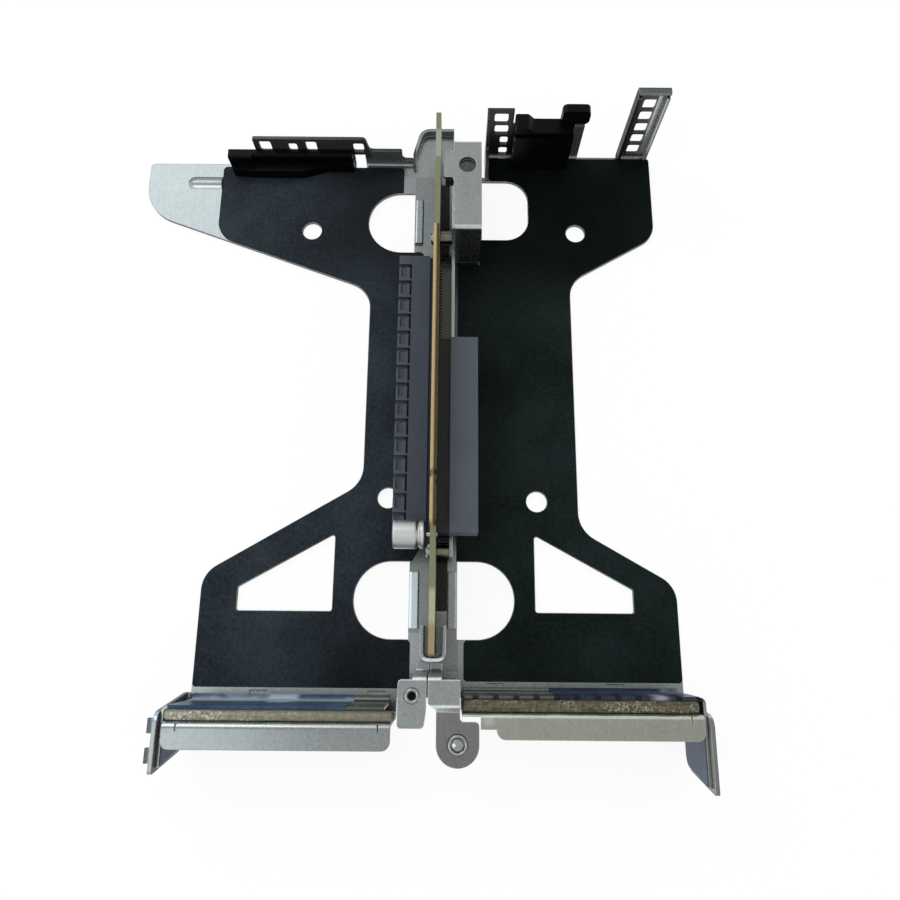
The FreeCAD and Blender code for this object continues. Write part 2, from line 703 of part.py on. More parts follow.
def make_tray():
    """Tray: floor, front walls, rear walls, ears and hems as one folded sheet."""
    pieces = [prism(floor_points(), "xy", 0, SHEET), front_left_wall(), nose()]
    pieces += front_right_walls()
    pieces.append(rear_wall(REAR_LEFT_Y, REAR_LEFT_X0, REAR_LEFT_X1, FLANGE_LEFT_D, REAR_LEFT_X0))
    pieces.append(rear_wall(REAR_RIGHT_Y, REAR_RIGHT_X0, REAR_RIGHT_X1, FLANGE_RIGHT_D, NECK_X1))
    pieces.append(ear(EAR_LEFT_X, -1, EAR_LEFT_END_Y, REAR_LEFT_OUT))
    pieces.append(ear(EAR_RIGHT_X, 1, EAR_RIGHT_END_Y, REAR_RIGHT_OUT))
    for inner, y, side in ((WINDOW_FRONT_LEFT_INNER_X, WINDOW_FRONT_LEFT_Y, 1),
                           (WINDOW_REAR_LEFT_INNER_X, WINDOW_REAR_Y, 1),
                           (WINDOW_REAR_RIGHT_INNER_X, WINDOW_REAR_Y, -1)):
        tip = inner + side * HEM_W
        hem = prism([(inner, SHEET / 2), (tip, SHEET / 2), (tip, 2 * SHEET, 0.3),
                     (inner, 2 * SHEET, SHEET * 0.9)], "xz", y - HEM_L / 2, y + HEM_L / 2)
        pieces.append(hem)
    tray = pieces[0].cut(tray_windows(0, 0))
    tray = fuse_all([tray] + pieces[1:] + ear_hooks())
    low, high = REAR_H - SHEET - BEND, REAR_H + 1
    tip = REAR_RIGHT_OUT - FLANGE_RIGHT_D - 1
    tools = [box(REAR_RIGHT_X0 - 1, NECK_X0, tip, REAR_RIGHT_OUT, low, high),
             box(NECK_X0 - 1, NECK_X1, tip, REAR_RIGHT_OUT - NECK_D, low, high)]
    for y, places in ((cover_plan(-1)[0] + COVER_LEFT_FOOT, RELIEF_LEFT_XS),
                      (cover_plan(1)[0] + COVER_RIGHT_FOOT, RELIEF_RIGHT_XS)):
        for x in places:
            tools.append(box(x - RELIEF_W / 2, x + RELIEF_W / 2, y, y + RELIEF_D, SHEET - RELIEF_H, DEEP))
    x, w = STRIP_WINDOWS[-1][:2]
    tools.append(box(x - w / 2, x + w / 2, LOW_WINDOW_Y0, FRONT_LEFT_OUT + 1, -1, LOW_WINDOW_Z1))
    tray = cut_all(tray, tools)
    return tray.fuse(bead()).removeSplitter()


def bead():
    """Round-backed stiffening bead on the wing: a bar with a ball end, flush with the floor."""
    half = BEAD_W / 2
    r = (BEAD_H * BEAD_H + half * half) / (2 * BEAD_H)
    z = SHEET + BEAD_H - r
    start = BEAD_X0 + half
    end = FILM_WING_X - FILM_GAP
    bar = rod(start, BEAD_Y, z, r, end - start, RIGHT)
    ball = Part.makeSphere(r, V(start, BEAD_Y, z))
    return bar.fuse(ball).common(box(BEAD_X0, end, BEAD_Y - half, BEAD_Y + half, SHEET / 2, SHEET + BEAD_H))


def film_blank():
    """Floor outline drawn in by the film margin, as thick as the film."""
    face = Part.Face(outline(floor_points(), "xy", SHEET))
    return face.makeOffset2D(-FILM_GAP).extrude(V(0, 0, FILM))


def make_left_film():
    """Insulating film on the left half of the floor."""
    slope = (WING_KNEE_Y - LEFT_WAIST_FRONT_Y) / (WING_X - LEFT_WAIST_X)
    knee = LEFT_WAIST_FRONT_Y + slope * (FILM_WING_X - LEFT_WAIST_X) + FILM_GAP
    middle = (FILM_WING_X + LEFT_WAIST_X) / 2
    middle_y = LEFT_WAIST_FRONT_Y + slope * (middle - LEFT_WAIST_X)
    notch_y = (LEFT_WAIST_REAR_Y + LEFT_WAIST_FRONT_Y) / 2
    front_edge = WINDOW_FRONT_LEFT_Y - WINDOW_H / 2
    back_edge = WINDOW_FRONT_LEFT_Y + WINDOW_H / 2
    rear_edge = WINDOW_REAR_Y + WINDOW_H / 2
    low_edge = WINDOW_REAR_Y - WINDOW_H / 2
    front_in = FILM_FRONT_INNER_X - CORNER_R
    rear_in = FILM_REAR_INNER_X - 2 * CORNER_R
    region = [(FILM_SIDE_X, FILM_REAR_Y, FILM_CORNER_R), (FILM_REAR_INNER_X, FILM_REAR_Y, FILM_CORNER_R),
              (FILM_REAR_INNER_X, low_edge, CORNER_R), (rear_in, low_edge), (rear_in, rear_edge),
              (FILM_REAR_INNER_X, rear_edge), (FILM_MID_INNER_X, rear_edge + FILM_STEP),
              (FILM_MID_INNER_X, front_edge, CORNER_R), (front_in, front_edge), (front_in, back_edge),
              (FILM_FRONT_INNER_X, back_edge), (FILM_FRONT_INNER_X, FILM_FRONT_Y, CORNER_R),
              (FILM_WING_X, FILM_FRONT_Y, CORNER_R), (FILM_WING_X, knee, KNEE_R),
              (middle, middle_y), (middle, notch_y), (FILM_SIDE_X, notch_y)]
    film = film_blank().common(prism(region, "xy", 0, 2 * SHEET))
    return cut_all(film, tray_windows(FILM_GAP, FILM_REAR_INNER_X - WINDOW_REAR_LEFT_INNER_X))


def make_right_film():
    """Insulating film on the right half of the floor."""
    box_side = BOX_X1 + FILM_GAP
    box_rear = BOX_Y0 - FILM_GAP
    window = WINDOW_FRONT_RIGHT_Y + WINDOW_H / 2
    low_edge, high_edge = WINDOW_REAR_Y - WINDOW_H / 2, WINDOW_REAR_Y + WINDOW_H / 2
    far = RIGHT_FRONT_X + 1
    side = RIGHT_SIDE_X - FILM_GAP
    front_in = FILM_RIGHT_FRONT_X + CORNER_R
    rear_in = FILM_RIGHT_REAR_X + CORNER_R
    region = [(FILM_RIGHT_REAR_X, FILM_RIGHT_REAR_Y, FILM_CORNER_R), (side, FILM_RIGHT_REAR_Y, FILM_CORNER_R),
              (side, RIGHT_KNEE_Y - KNEE_R), (far, RIGHT_KNEE_Y - KNEE_R), (far, FILM_RIGHT_FRONT_Y),
              (FILM_RIGHT_FRONT_X, FILM_RIGHT_FRONT_Y, FILM_CORNER_R), (FILM_RIGHT_FRONT_X, window, CORNER_R),
              (front_in, window), (front_in, window - WINDOW_H), (box_side, window - WINDOW_H, CORNER_R),
              (box_side, box_rear), (FILM_RIGHT_MID_X, box_rear), (FILM_RIGHT_MID_X, high_edge),
              (rear_in, high_edge), (rear_in, low_edge), (FILM_RIGHT_REAR_X, low_edge, CORNER_R)]
    film = film_blank().common(prism(region, "xy", 0, 2 * SHEET))
    return cut_all(film, tray_windows(FILM_GAP, 0))


def make_board():
    """Riser board: straight lower edge, keyed contact tongue along the top."""
    tongue_end = TONGUE_Y0 + TONGUE_L
    key0 = TONGUE_Y0 + TONGUE_KEY_Y
    key1 = key0 + TONGUE_KEY_W
    c = TONGUE_CHAMFER
    key_z = TONGUE_Z - TONGUE_KEY_D
    points = [(BOARD_REAR_Y, BOARD_Z0), (BOARD_FRONT_Y, BOARD_Z0),
              (BOARD_FRONT_Y, BOARD_Z1, SHOULDER_R), (tongue_end, BOARD_Z1, SHOULDER_R),
              (tongue_end, TONGUE_Z - c), (tongue_end - c, TONGUE_Z), (key1 + c, TONGUE_Z),
              (key1, TONGUE_Z - c), (key1, key_z, TONGUE_KEY_W / 2), (key0, key_z, TONGUE_KEY_W / 2),
              (key0, TONGUE_Z - c), (key0 - c, TONGUE_Z), (TONGUE_Y0 + c, TONGUE_Z),
              (TONGUE_Y0, TONGUE_Z - c), (TONGUE_Y0, BOARD_Z1, SHOULDER_R),
              (BOARD_REAR_Y, BOARD_Z1, SHOULDER_R)]
    board = prism(points, "yz", -BOARD_X, BOARD_X)
    tools = [rod(-BOARD_X - 1, y, z, BOARD_HOLE_R, BOARD_T + 2, RIGHT) for y, z in SCREWS]
    for dz in (-LEAD_PITCH / 2, LEAD_PITCH / 2):
        tools.append(rod(-BOARD_X - 1, CAP_Y, CAP_Z + dz, LEAD_R + FIT, BOARD_T + 2, RIGHT))
    return cut_all(board, tools)


def make_housing(side, y0, length, card_z, foot_step, teeth):
    """Slot housing standing out from the board face, mouth away from the board."""
    near = side * BOARD_X
    far = side * (BOARD_X + SLOT_H)
    low, high = card_z - SLOT_W / 2, card_z + SLOT_W / 2
    y1 = y0 + length
    step_x = near + side * foot_step
    step_z = high - FOOT_STEP_Z
    section = [(near, low), (far, low, HOUSING_EDGE_R), (far, high, HOUSING_EDGE_R), (step_x, high),
               (step_x, step_z), (near, step_z)]
    body = prism(section, "xz", y0, y1)
    floor_x = far - side * CARD_GROOVE_D
    half = CARD_GROOVE_W / 2
    wide = half + CONTACT_T
    key0 = y0 + CARD_KEY_Y
    key1 = key0 + CARD_KEY_W
    tools = []
    for a, b in ((y0 + CARD_GROOVE_END, key0), (key1, y1 - CARD_GROOVE_END)):
        tools.append(box(min(floor_x, far + side), max(floor_x, far + side), a, b,
                         card_z - half, card_z + half))
        inset = CONTACT_END - CARD_GROOVE_END - (CONTACT_PITCH - CONTACT_W)
        far_in = far - side * CONTACT_ROOT
        tools.append(box(min(floor_x, far_in), max(floor_x, far_in), a + inset, b - inset,
                         card_z - wide, card_z + wide))
    if teeth:
        channel = far - side * TOOTH_W
        inner = channel - side * TOOTH_CHANNEL
        lip = far - side * TOOTH_LIP
        pocket = lip - side * TOOTH_POCKET_W
        base = high - TOOTH_H
        for i in range(TOOTH_COUNT):
            start = y0 + TOOTH_END + i * TOOTH_PITCH
            end = start + TOOTH_L
            gap = start + TOOTH_PITCH
            past = end + TOOTH_BRIDGE / 2
            tools.append(box(min(far + side, inner), max(far + side, inner), end, gap, base, high + 1))
            tools.append(box(min(channel, inner), max(channel, inner), start + TOOTH_BRIDGE, past,
                             base, high + 1))
            tools.append(box(min(lip, pocket), max(lip, pocket), start + 2 * TOOTH_BRIDGE, past,
                             high - TOOTH_POCKET_H, high + 1))
    return cut_all(body, tools)


def make_contacts(side, y0, length, card_z):
    """Two facing rows of spring contacts in the slot."""
    far = side * (BOARD_X + SLOT_H)
    floor_x = far - side * CARD_GROOVE_D
    tip = floor_x + side * CONTACT_L
    key0 = y0 + CARD_KEY_Y
    key1 = key0 + CARD_KEY_W
    half = CARD_GROOVE_W / 2
    shapes = []
    y1 = y0 + length - CONTACT_END
    for a, b in ((y0 + CONTACT_END, key0), (key1 + CONTACT_END - CARD_GROOVE_END, y1)):
        count = int((b - a - CONTACT_W) / CONTACT_PITCH) + 1
        for i in range(count):
            y = a + i * CONTACT_PITCH
            for z in (card_z - half - CONTACT_T, card_z + half):
                shapes.append(box(min(floor_x, tip), max(floor_x, tip), y, y + CONTACT_W,
                                  z, z + CONTACT_T))
    return shapes


def make_capacitor():
    """Can with a crimp groove, rubber seal and two leads into the board."""
    face = -BOARD_X - CAP_STANDOFF
    seal = rod(face, CAP_Y, CAP_Z, CAP_SEAL_R, CAP_SEAL_L, LEFT)
    start = face - CAP_SEAL_L
    end = start - CAP_L
    groove = start - CAP_CRIMP_X
    c = CAP_CRIMP_R
    profile = [(start, 0), (start, CAP_R), (groove + c, CAP_R), (groove, CAP_R - c), (groove - c, CAP_R),
               (end + c, CAP_R), (end, CAP_R - c), (end, 0)]
    wire = Part.makePolygon([V(x, CAP_Y + r, CAP_Z) for x, r in profile + profile[:1]])
    can = Part.Face(wire).revolve(V(0, CAP_Y, CAP_Z), RIGHT, 360)
    leads = [rod(face, CAP_Y, CAP_Z + dz, LEAD_R, CAP_STANDOFF + BOARD_T + LEAD_R, RIGHT)
             for dz in (-LEAD_PITCH / 2, LEAD_PITCH / 2)]
    return can, seal, leads


def make_bracket():
    """Bracket beside the board: low wall, and a box tab with a dimple in front."""
    x1 = WALL_X + SHEET
    wall = [box(WALL_X, x1, WALL_Y0, WALL_Y1, SHEET, WALL_H),
            box(WALL_X, x1, BOX_Y0, WALL_Y1, SHEET, BOX_Z - SHEET / 2)]
    path = [(BOX_Y0 + BOX_FOOT, SHEET), (BOX_Y0, SHEET), (BOX_Y0, BOX_Z), (BOX_Y1, BOX_Z),
            (BOX_Y1, SHEET)]
    hat = strip(path, -SHEET, BEND, "yz", x1 - SHEET / 2, BOX_X1)
    top = [(x1, BOX_EAR_Y0 - BOX_SLOPE), (x1 + SHEET, BOX_EAR_Y0 - BOX_SLOPE), (x1 + SHEET, BOX_EAR_Y1),
           (BOX_EAR_X0, BOX_EAR_Y1, BOX_EAR_R), (BOX_EAR_X0, BOX_EAR_Y0, BOX_EAR_R), (x1 - SHEET, BOX_EAR_Y0)]
    ear_plate = prism(top, "xy", BOX_Z - SHEET, BOX_Z)
    ear_lip = box(BOX_EAR_X0 + BOX_EAR_R, x1 - SHEET / 2, BOX_EAR_Y0, BOX_EAR_Y0 + SHEET,
                  BOX_Z - BOX_EAR_LIP, BOX_Z - SHEET / 2)
    bracket = fuse_all(wall + [hat, ear_plate, ear_lip])
    boss = rod(DIMPLE_X, DIMPLE_Y, BOX_Z - SHEET - DIMPLE_D, DIMPLE_R + SHEET * 0.4, DIMPLE_D + SHEET / 2, UP)
    bracket = bracket.fuse(boss)
    tools = [rod(DIMPLE_X, DIMPLE_Y, BOX_Z - DIMPLE_D, DIMPLE_R, DIMPLE_D + 1, UP)]
    for y, z in SCREWS:
        tools.append(rod(WALL_X - 1, y, z, SCREW_R + SCREW_CLEAR, SHEET + 2, RIGHT))
    return cut_all(bracket, tools).removeSplitter()


def make_fasteners():
    """Board screws and the round standoffs between board and wall."""
    screws, standoffs = [], []
    for y, z in SCREWS:
        head = rod(-BOARD_X, y, z, SCREW_HEAD_R, SCREW_HEAD_H, LEFT)
        rim = [e for e in head.Edges if abs(e.BoundBox.XMax + BOARD_X + SCREW_HEAD_H) < 1e-6]
        head = head.makeChamfer(SCREW_HEAD_H / 3, rim)
        length = SCREW_HEAD_H / 2 + BOARD_X + WALL_X + SHEET
        shank = rod(-BOARD_X - SCREW_HEAD_H / 2, y, z, SCREW_R, length, RIGHT)
        screws.append(head.fuse(shank).removeSplitter())
        sleeve = rod(BOARD_X, y, z, STANDOFF_R, WALL_X - BOARD_X, RIGHT)
        standoffs.append(sleeve.cut(rod(0, y, z, SCREW_R + SCREW_CLEAR, WALL_X + 1, RIGHT)))
    return screws, standoffs


def make_guide():
    """Folded guide round the rear end of the board."""
    front = GUIDE_REAR_Y + GUIDE_ARM
    path = [(GUIDE_X1, front), (GUIDE_X1, GUIDE_REAR_Y), (GUIDE_X0, GUIDE_REAR_Y), (GUIDE_X0, front)]
    return strip(path, -SHEET, GUIDE_R, "xy", SHEET, GUIDE_H)


def rear_strip(end_path, x0, x1):
    """Foot on the floor, post and top, folded from one strip; end_path continues the top's underside."""
    path = [(POST_Y + REAR_FOOT, SHEET), (POST_Y - SHEET, SHEET), (POST_Y - SHEET, FLAP_Z - SHEET)]
    return strip(path + end_path, -SHEET, BEND, "yz", x0, x1)


def make_rear_bracket():
    """Post, flap, joggle and rounded thumb tab folded from one strip."""
    under = FLAP_Z - SHEET
    tip = THUMB_Y - THUMB_R
    x0, x1 = THUMB_X - THUMB_R, THUMB_X + THUMB_R
    low = under - JOGGLE
    joggle_y = FLAP_REAR_Y - JOGGLE_RUN
    body = rear_strip([(FLAP_REAR_Y, under), (joggle_y, low), (tip, low)], FLAP_X0, x1)
    front = POST_Y + REAR_FOOT
    plan = [(FLAP_X0, front), (FLAP_X0, FLAP_REAR_Y, TAB_EDGE_R), (x0, joggle_y, TAB_EDGE_R),
            (x0, tip, THUMB_R), (x1, tip, THUMB_R), (x1, THUMB_SHOULDER_Y, TAB_EDGE_R),
            (FLAP_X1, THUMB_SHOULDER_Y, TAB_EDGE_R), (FLAP_X1, front)]
    body = body.common(prism(plan, "xy", 0, FLAP_Z + 1))
    tools = [box(REAR_POST_X1, x1 + 1, POST_Y - SHEET - BEND, front + 1, 0, under - BEND),
             box(REAR_POST_X1, x1 + 1, POST_Y - SHEET, front + 1, 0, FLAP_Z + 1),
             rod(THUMB_X, THUMB_Y, 0, SLEEVE_R + SCREW_CLEAR, FLAP_Z, UP)]
    return cut_all(body, tools)


def make_nut_plate():
    """Plate with the clinch nut, on a narrow leg of its own."""
    body = rear_strip([(PLATE_REAR_Y, FLAP_Z - SHEET)], PLATE_X0, PLATE_X1)
    front = POST_Y + REAR_FOOT
    plan = [(PLATE_X0, PLATE_REAR_Y, TAB_EDGE_R), (PLATE_X1 - PLATE_TAPER, PLATE_REAR_Y, TAB_EDGE_R),
            (PLATE_X1, PLATE_REAR_Y + PLATE_TAPER_L), (PLATE_X1, front), (PLATE_LEG_X0, front),
            (PLATE_LEG_X0, POST_Y - SHEET), (PLATE_X0, POST_Y - SHEET, TAB_EDGE_R)]
    body = body.common(prism(plan, "xy", 0, FLAP_Z + 1))
    under = FLAP_Z - FOLD
    tools = [box(PLATE_X0 - 1, PLATE_LEG_X0, POST_Y - FOLD, front, 0, under),
             rod(NUT_X, NUT_Y, FLAP_Z - 2 * SHEET, NUT_R + SCREW_CLEAR, 3 * SHEET, UP)]
    return cut_all(body, tools)


def make_rear_fasteners():
    """Clinch nut, the sleeve in the thumb tab and the captive screw in it."""
    top = FLAP_Z + NUT_PROUD
    nut = rod(NUT_X, NUT_Y, top, NUT_R, NUT_BORE_L + NUT_CAP, DOWN)
    nut = nut.cut(rod(NUT_X, NUT_Y, top - NUT_BORE_L, NUT_BORE_R, NUT_BORE_L + 1, UP))
    tab = FLAP_Z - JOGGLE
    low = tab - SHEET - SLEEVE_PROUD
    sleeve = rod(THUMB_X, THUMB_Y, low, SLEEVE_R, SHEET + 2 * SLEEVE_PROUD, UP)
    sleeve = sleeve.cut(rod(THUMB_X, THUMB_Y, 0, SLEEVE_BORE_R, FLAP_Z, UP))
    seat = low - FIT
    head = rod(THUMB_X, THUMB_Y, seat, CAPTIVE_HEAD_R, CAPTIVE_HEAD_H, DOWN)
    shank = rod(THUMB_X, THUMB_Y, seat - CAPTIVE_HEAD_H / 2, CAPTIVE_R,
                tab + CAPTIVE_PROUD - seat + CAPTIVE_HEAD_H / 2, UP)
    screw = head.fuse(shank).removeSplitter()
    tip = tab + CAPTIVE_PROUD
    a, b = DRIVE_L / 2, DRIVE_W / 2
    cross = [box(THUMB_X - dx, THUMB_X + dx, THUMB_Y - dy, THUMB_Y + dy, tip - DRIVE_D, tip + 1)
             for dx, dy in ((a, b), (b, a))]
    return nut, sleeve, cut_all(screw, cross)


def cover_plan(side):
    """Inner face, outer tab face and rear wall faces that place a slot cover."""
    wall = REAR_LEFT_Y if side < 0 else REAR_RIGHT_Y
    face = wall + (GASKET_LEFT_W if side < 0 else GASKET_RIGHT_W) + GASKET_GAP + COVER_T
    outer = (EAR_LEFT_X if side < 0 else EAR_RIGHT_X) - side * (SHEET + FIT)
    end = (EAR_LEFT_END_Y if side < 0 else EAR_RIGHT_END_Y) + COVER_TAB_END
    start = COVER_LEFT_X1 if side < 0 else COVER_RIGHT_X0
    return face, outer, end, start, wall - SHEET


def tab_points(wall_out, end, margin):
    """Side view of a cover tab behind the wall, drawn in by a margin."""
    return [(wall_out, COVER_TAB_Z0 + margin), (wall_out, COVER_Z1 - margin),
            (end + margin, COVER_Z1 - margin, WINDOW_EDGE_R),
            (end + EAR_RAKE + margin, COVER_TAB_Z0 + margin, EAR_TOP_R)]


def make_cover(side):
    """Slot cover: plate inside the rear wall, with a tab along the ear."""
    face, outer, end, start, wall_out = cover_plan(side)
    path = [(start, face), (outer, face), (outer, end)]
    bent = strip(path, -side * COVER_T, BEND, "xy", COVER_TAB_Z0, COVER_Z1)
    inner = outer - side * (COVER_T + BEND)
    foot = COVER_LEFT_FOOT if side < 0 else COVER_RIGHT_FOOT
    path = [(face + foot, SHEET), (face - COVER_T, SHEET), (face - COVER_T, COVER_TAB_Z0 + COVER_T)]
    low = strip(path, -COVER_T, foot * COVER_FOOT_BEND, "yz", min(start, inner), max(start, inner))
    cover = fuse_all([bent, low])
    keep = tab_points(face + 1, end, 0)
    tools = [box(min(start, outer) - 1, max(start, outer) + 1, end - 1, wall_out, 0, COVER_Z1 + 1).cut(
        prism(keep, "yz", min(start, outer) - 2, max(start, outer) + 2))]
    first = min(start, inner) + COVER_WINDOW_END
    last = max(start, inner) - COVER_WINDOW_END
    count = int((last - first) / COVER_WINDOW_PITCH) + 1
    for i in range(count):
        x = first + i * COVER_WINDOW_PITCH
        tools.append(box(x, x + COVER_WINDOW_W, face - COVER_T - 1, face + 1,
                         COVER_WINDOW_Z, COVER_WINDOW_Z + COVER_WINDOW_H))
    return cut_all(cover, tools)


def make_cover_film(side):
    """Protective film on the cover's face and on the inside of its tab."""
    face, outer, end, start, wall_out = cover_plan(side)
    edge = BLUE_LEFT_X1 if side < 0 else BLUE_RIGHT_X0
    root = outer - side * (COVER_T + BEND)
    foot = COVER_LEFT_FOOT if side < 0 else COVER_RIGHT_FOOT
    path = [(face + foot, SHEET + COVER_T), (face, SHEET + COVER_T), (face, COVER_Z1 + BLUE_T)]
    x0, x1 = min(edge, root), max(edge, root)
    sheet = strip(path, -BLUE_T, foot * COVER_FOOT_BEND - BLUE_T, "yz", x0, x1)
    sheet = fuse_all([sheet, box(x0, x1, face - COVER_T, face + BLUE_T, COVER_Z1, COVER_Z1 + BLUE_T)])
    inner = outer - side * COVER_T
    tab = prism(tab_points(wall_out, end, BLUE_EDGE), "yz", min(inner, inner - side * BLUE_T),
                max(inner, inner - side * BLUE_T))
    return [sheet, tab]


def make_gasket(wall, width, x0, x1):
    """Cloth-covered foam strip along the top of the rear wall."""
    top = REAR_H
    section = [(wall, top - GASKET_H), (wall + width, top - GASKET_H, GASKET_R),
               (wall + width, top, GASKET_R), (wall, top, GASKET_R)]
    return prism(section, "yz", x0 + GASKET_END, x1 - GASKET_END)


def make_left_retainer():
    """Low plastic retainer with an edge groove for the left card."""
    back = FRONT_LEFT_Y - RETAINER_GAP
    low = SHEET + FILM
    front = back - LEFT_RET_BAR_D
    bend_x = LEFT_RET_BLOCK_X1 + LEFT_RET_FOOT_L
    foot = [(LEFT_RET_X0, front + SHEET), (LEFT_RET_X0 + RETAINER_R, LEFT_RET_Y0 + RETAINER_R),
            (LEFT_RET_BLOCK_X1, LEFT_RET_Y0, KNOB_R), (bend_x, LEFT_RET_Y0, KNOB_R),
            (bend_x + LEFT_RET_SLOPE_L, LEFT_RET_Y1, KNOB_R), (LEFT_RET_X1, LEFT_RET_Y1, RETAINER_R),
            (LEFT_RET_X1, front + SHEET)]
    base = prism(foot, "xy", low, LEFT_RET_H)
    z = LEFT_CARD_Z
    half = EDGE_GROOVE_W / 2
    heel = [(back - BEND - FIT, low), (back, low + BEND + FIT), (back, LEFT_RET_BAR_H, RETAINER_R)]
    groove = [(front, LEFT_RET_BAR_H, RETAINER_R), (front, z + half), (front + EDGE_GROOVE_D, z + half),
              (front + EDGE_GROOVE_D, z - half), (front, z - half)]
    bar = prism([(front, low)] + heel + groove, "yz", LEFT_RET_X0, LEFT_RET_X1)
    block = [(LEFT_RET_Y1, low)] + heel + [(LEFT_RET_Y1, LEFT_RET_BAR_H, RETAINER_R)]
    end = prism(block, "yz", LEFT_RET_X0, LEFT_RET_BLOCK_X1)
    return fuse_all([base, bar, end])


def make_right_retainer():
    """Tall plastic retainer with a knob and an edge groove for the right card."""
    back = FRONT_RIGHT_Y - RETAINER_GAP
    front = back - RIGHT_RET_D
    low = SHEET + FILM
    z = RIGHT_CARD_Z
    half = EDGE_GROOVE_W / 2
    step = RIGHT_RET_H + RIGHT_RET_STEP
    profile = [(RIGHT_RET_X0, low), (RIGHT_RET_X1, low), (RIGHT_RET_X1, RIGHT_RET_H, RETAINER_R),
               (RIGHT_RET_NECK_X + RIGHT_RET_STEP, RIGHT_RET_H, RETAINER_R),
               (RIGHT_RET_NECK_X, step, RETAINER_R), (RIGHT_RET_X0, step, RETAINER_R)]
    neck = RIGHT_RET_H - RIGHT_RET_STEP
    knob = [(KNOB_X0, neck), (RIGHT_RET_X1, neck), (RIGHT_RET_X1, KNOB_Z0), (KNOB_X1, KNOB_Z0, KNOB_R),
            (KNOB_X1, KNOB_Z1, KNOB_R), (KNOB_X0, KNOB_Z1, KNOB_R)]
    body = fuse_all([prism(profile, "xz", front, back), prism(knob, "xz", back - KNOB_D, back)])
    heel = [(back - BEND - FIT, low - 1), (back + 1, low - 1), (back + 1, low + BEND + FIT),
            (back, low + BEND + FIT), (back - BEND - FIT, low)]
    tools = [prism(heel, "yz", RIGHT_RET_X0 - 1, RIGHT_RET_X1 + 1),
             box(RIGHT_RET_X0 - 1, RIGHT_RET_X1 + 1, front - 1, front + EDGE_GROOVE_D, z - half, z + half)]
    return cut_all(body, tools)


save("base_tray", make_tray())
save("left_insulator_film", make_left_film())
save("right_insulator_film", make_right_film())
save("riser_board", make_board())
save("left_slot_housing",
     make_housing(-1, LEFT_SLOT_Y0, LEFT_SLOT_L, LEFT_CARD_Z, LEFT_FOOT_STEP_X, True))
save("right_slot_housing",
     make_housing(1, RIGHT_SLOT_Y0, RIGHT_SLOT_L, RIGHT_CARD_Z, RIGHT_FOOT_STEP_X, False))
save("left_slot_contacts", make_contacts(-1, LEFT_SLOT_Y0, LEFT_SLOT_L, LEFT_CARD_Z))
save("right_slot_contacts", make_contacts(1, RIGHT_SLOT_Y0, RIGHT_SLOT_L, RIGHT_CARD_Z))
can, seal, leads = make_capacitor()
save("capacitor_can", can)
save("capacitor_seal", seal)
save("capacitor_leads", leads)
save("board_bracket", make_bracket())
screws, standoffs = make_fasteners()
save("board_screws", screws)
save("board_standoffs", standoffs)
save("board_guide", make_guide())
save("rear_bracket", make_rear_bracket())
save("nut_plate", make_nut_plate())
nut, sleeve, captive = make_rear_fasteners()
save("clinch_nut", nut)
save("screw_sleeve", sleeve)
save("captive_screw", captive)
save("left_slot_cover", make_cover(-1))
save("right_slot_cover", make_cover(1))
save("left_cover_film", make_cover_film(-1))
save("right_cover_film", make_cover_film(1))
save("left_gasket", make_gasket(REAR_LEFT_Y, GASKET_LEFT_W, REAR_LEFT_X0, REAR_LEFT_X1))
save("right_gasket", make_gasket(REAR_RIGHT_Y, GASKET_RIGHT_W, REAR_RIGHT_X0, REAR_RIGHT_X1))
save("left_card_retainer", make_left_retainer())
save("right_card_retainer", make_right_retainer())
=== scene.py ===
import logging
import math
from dataclasses import dataclass
from enum import Enum
from typing import Any, Optional, Sequence, Union

import bmesh
import bpy
import numpy as np
from mathutils import Matrix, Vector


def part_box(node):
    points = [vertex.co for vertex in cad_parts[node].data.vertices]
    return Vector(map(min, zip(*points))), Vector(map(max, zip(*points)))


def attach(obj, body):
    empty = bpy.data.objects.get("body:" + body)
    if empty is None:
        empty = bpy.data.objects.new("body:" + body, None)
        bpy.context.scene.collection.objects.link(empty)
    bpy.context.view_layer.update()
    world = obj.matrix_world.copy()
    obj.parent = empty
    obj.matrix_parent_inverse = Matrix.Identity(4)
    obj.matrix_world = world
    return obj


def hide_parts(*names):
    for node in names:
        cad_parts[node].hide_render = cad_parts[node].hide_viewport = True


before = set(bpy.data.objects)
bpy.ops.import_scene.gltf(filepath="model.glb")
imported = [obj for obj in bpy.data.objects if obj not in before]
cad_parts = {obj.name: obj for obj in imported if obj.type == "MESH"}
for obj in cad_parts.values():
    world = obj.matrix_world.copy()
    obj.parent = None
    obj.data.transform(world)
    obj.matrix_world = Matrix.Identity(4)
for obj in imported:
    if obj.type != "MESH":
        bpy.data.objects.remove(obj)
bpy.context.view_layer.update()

log = logging.getLogger("riser_card")
MM = 0.001
Colour = tuple[float, float, float]
Point = tuple[float, float, float]
Pair = tuple[float, float]
Shape = tuple[np.ndarray, np.ndarray]


class Axis(Enum):
    """A frame axis, by its place in a coordinate triple."""

    X = 0
    Y = 1
    Z = 2


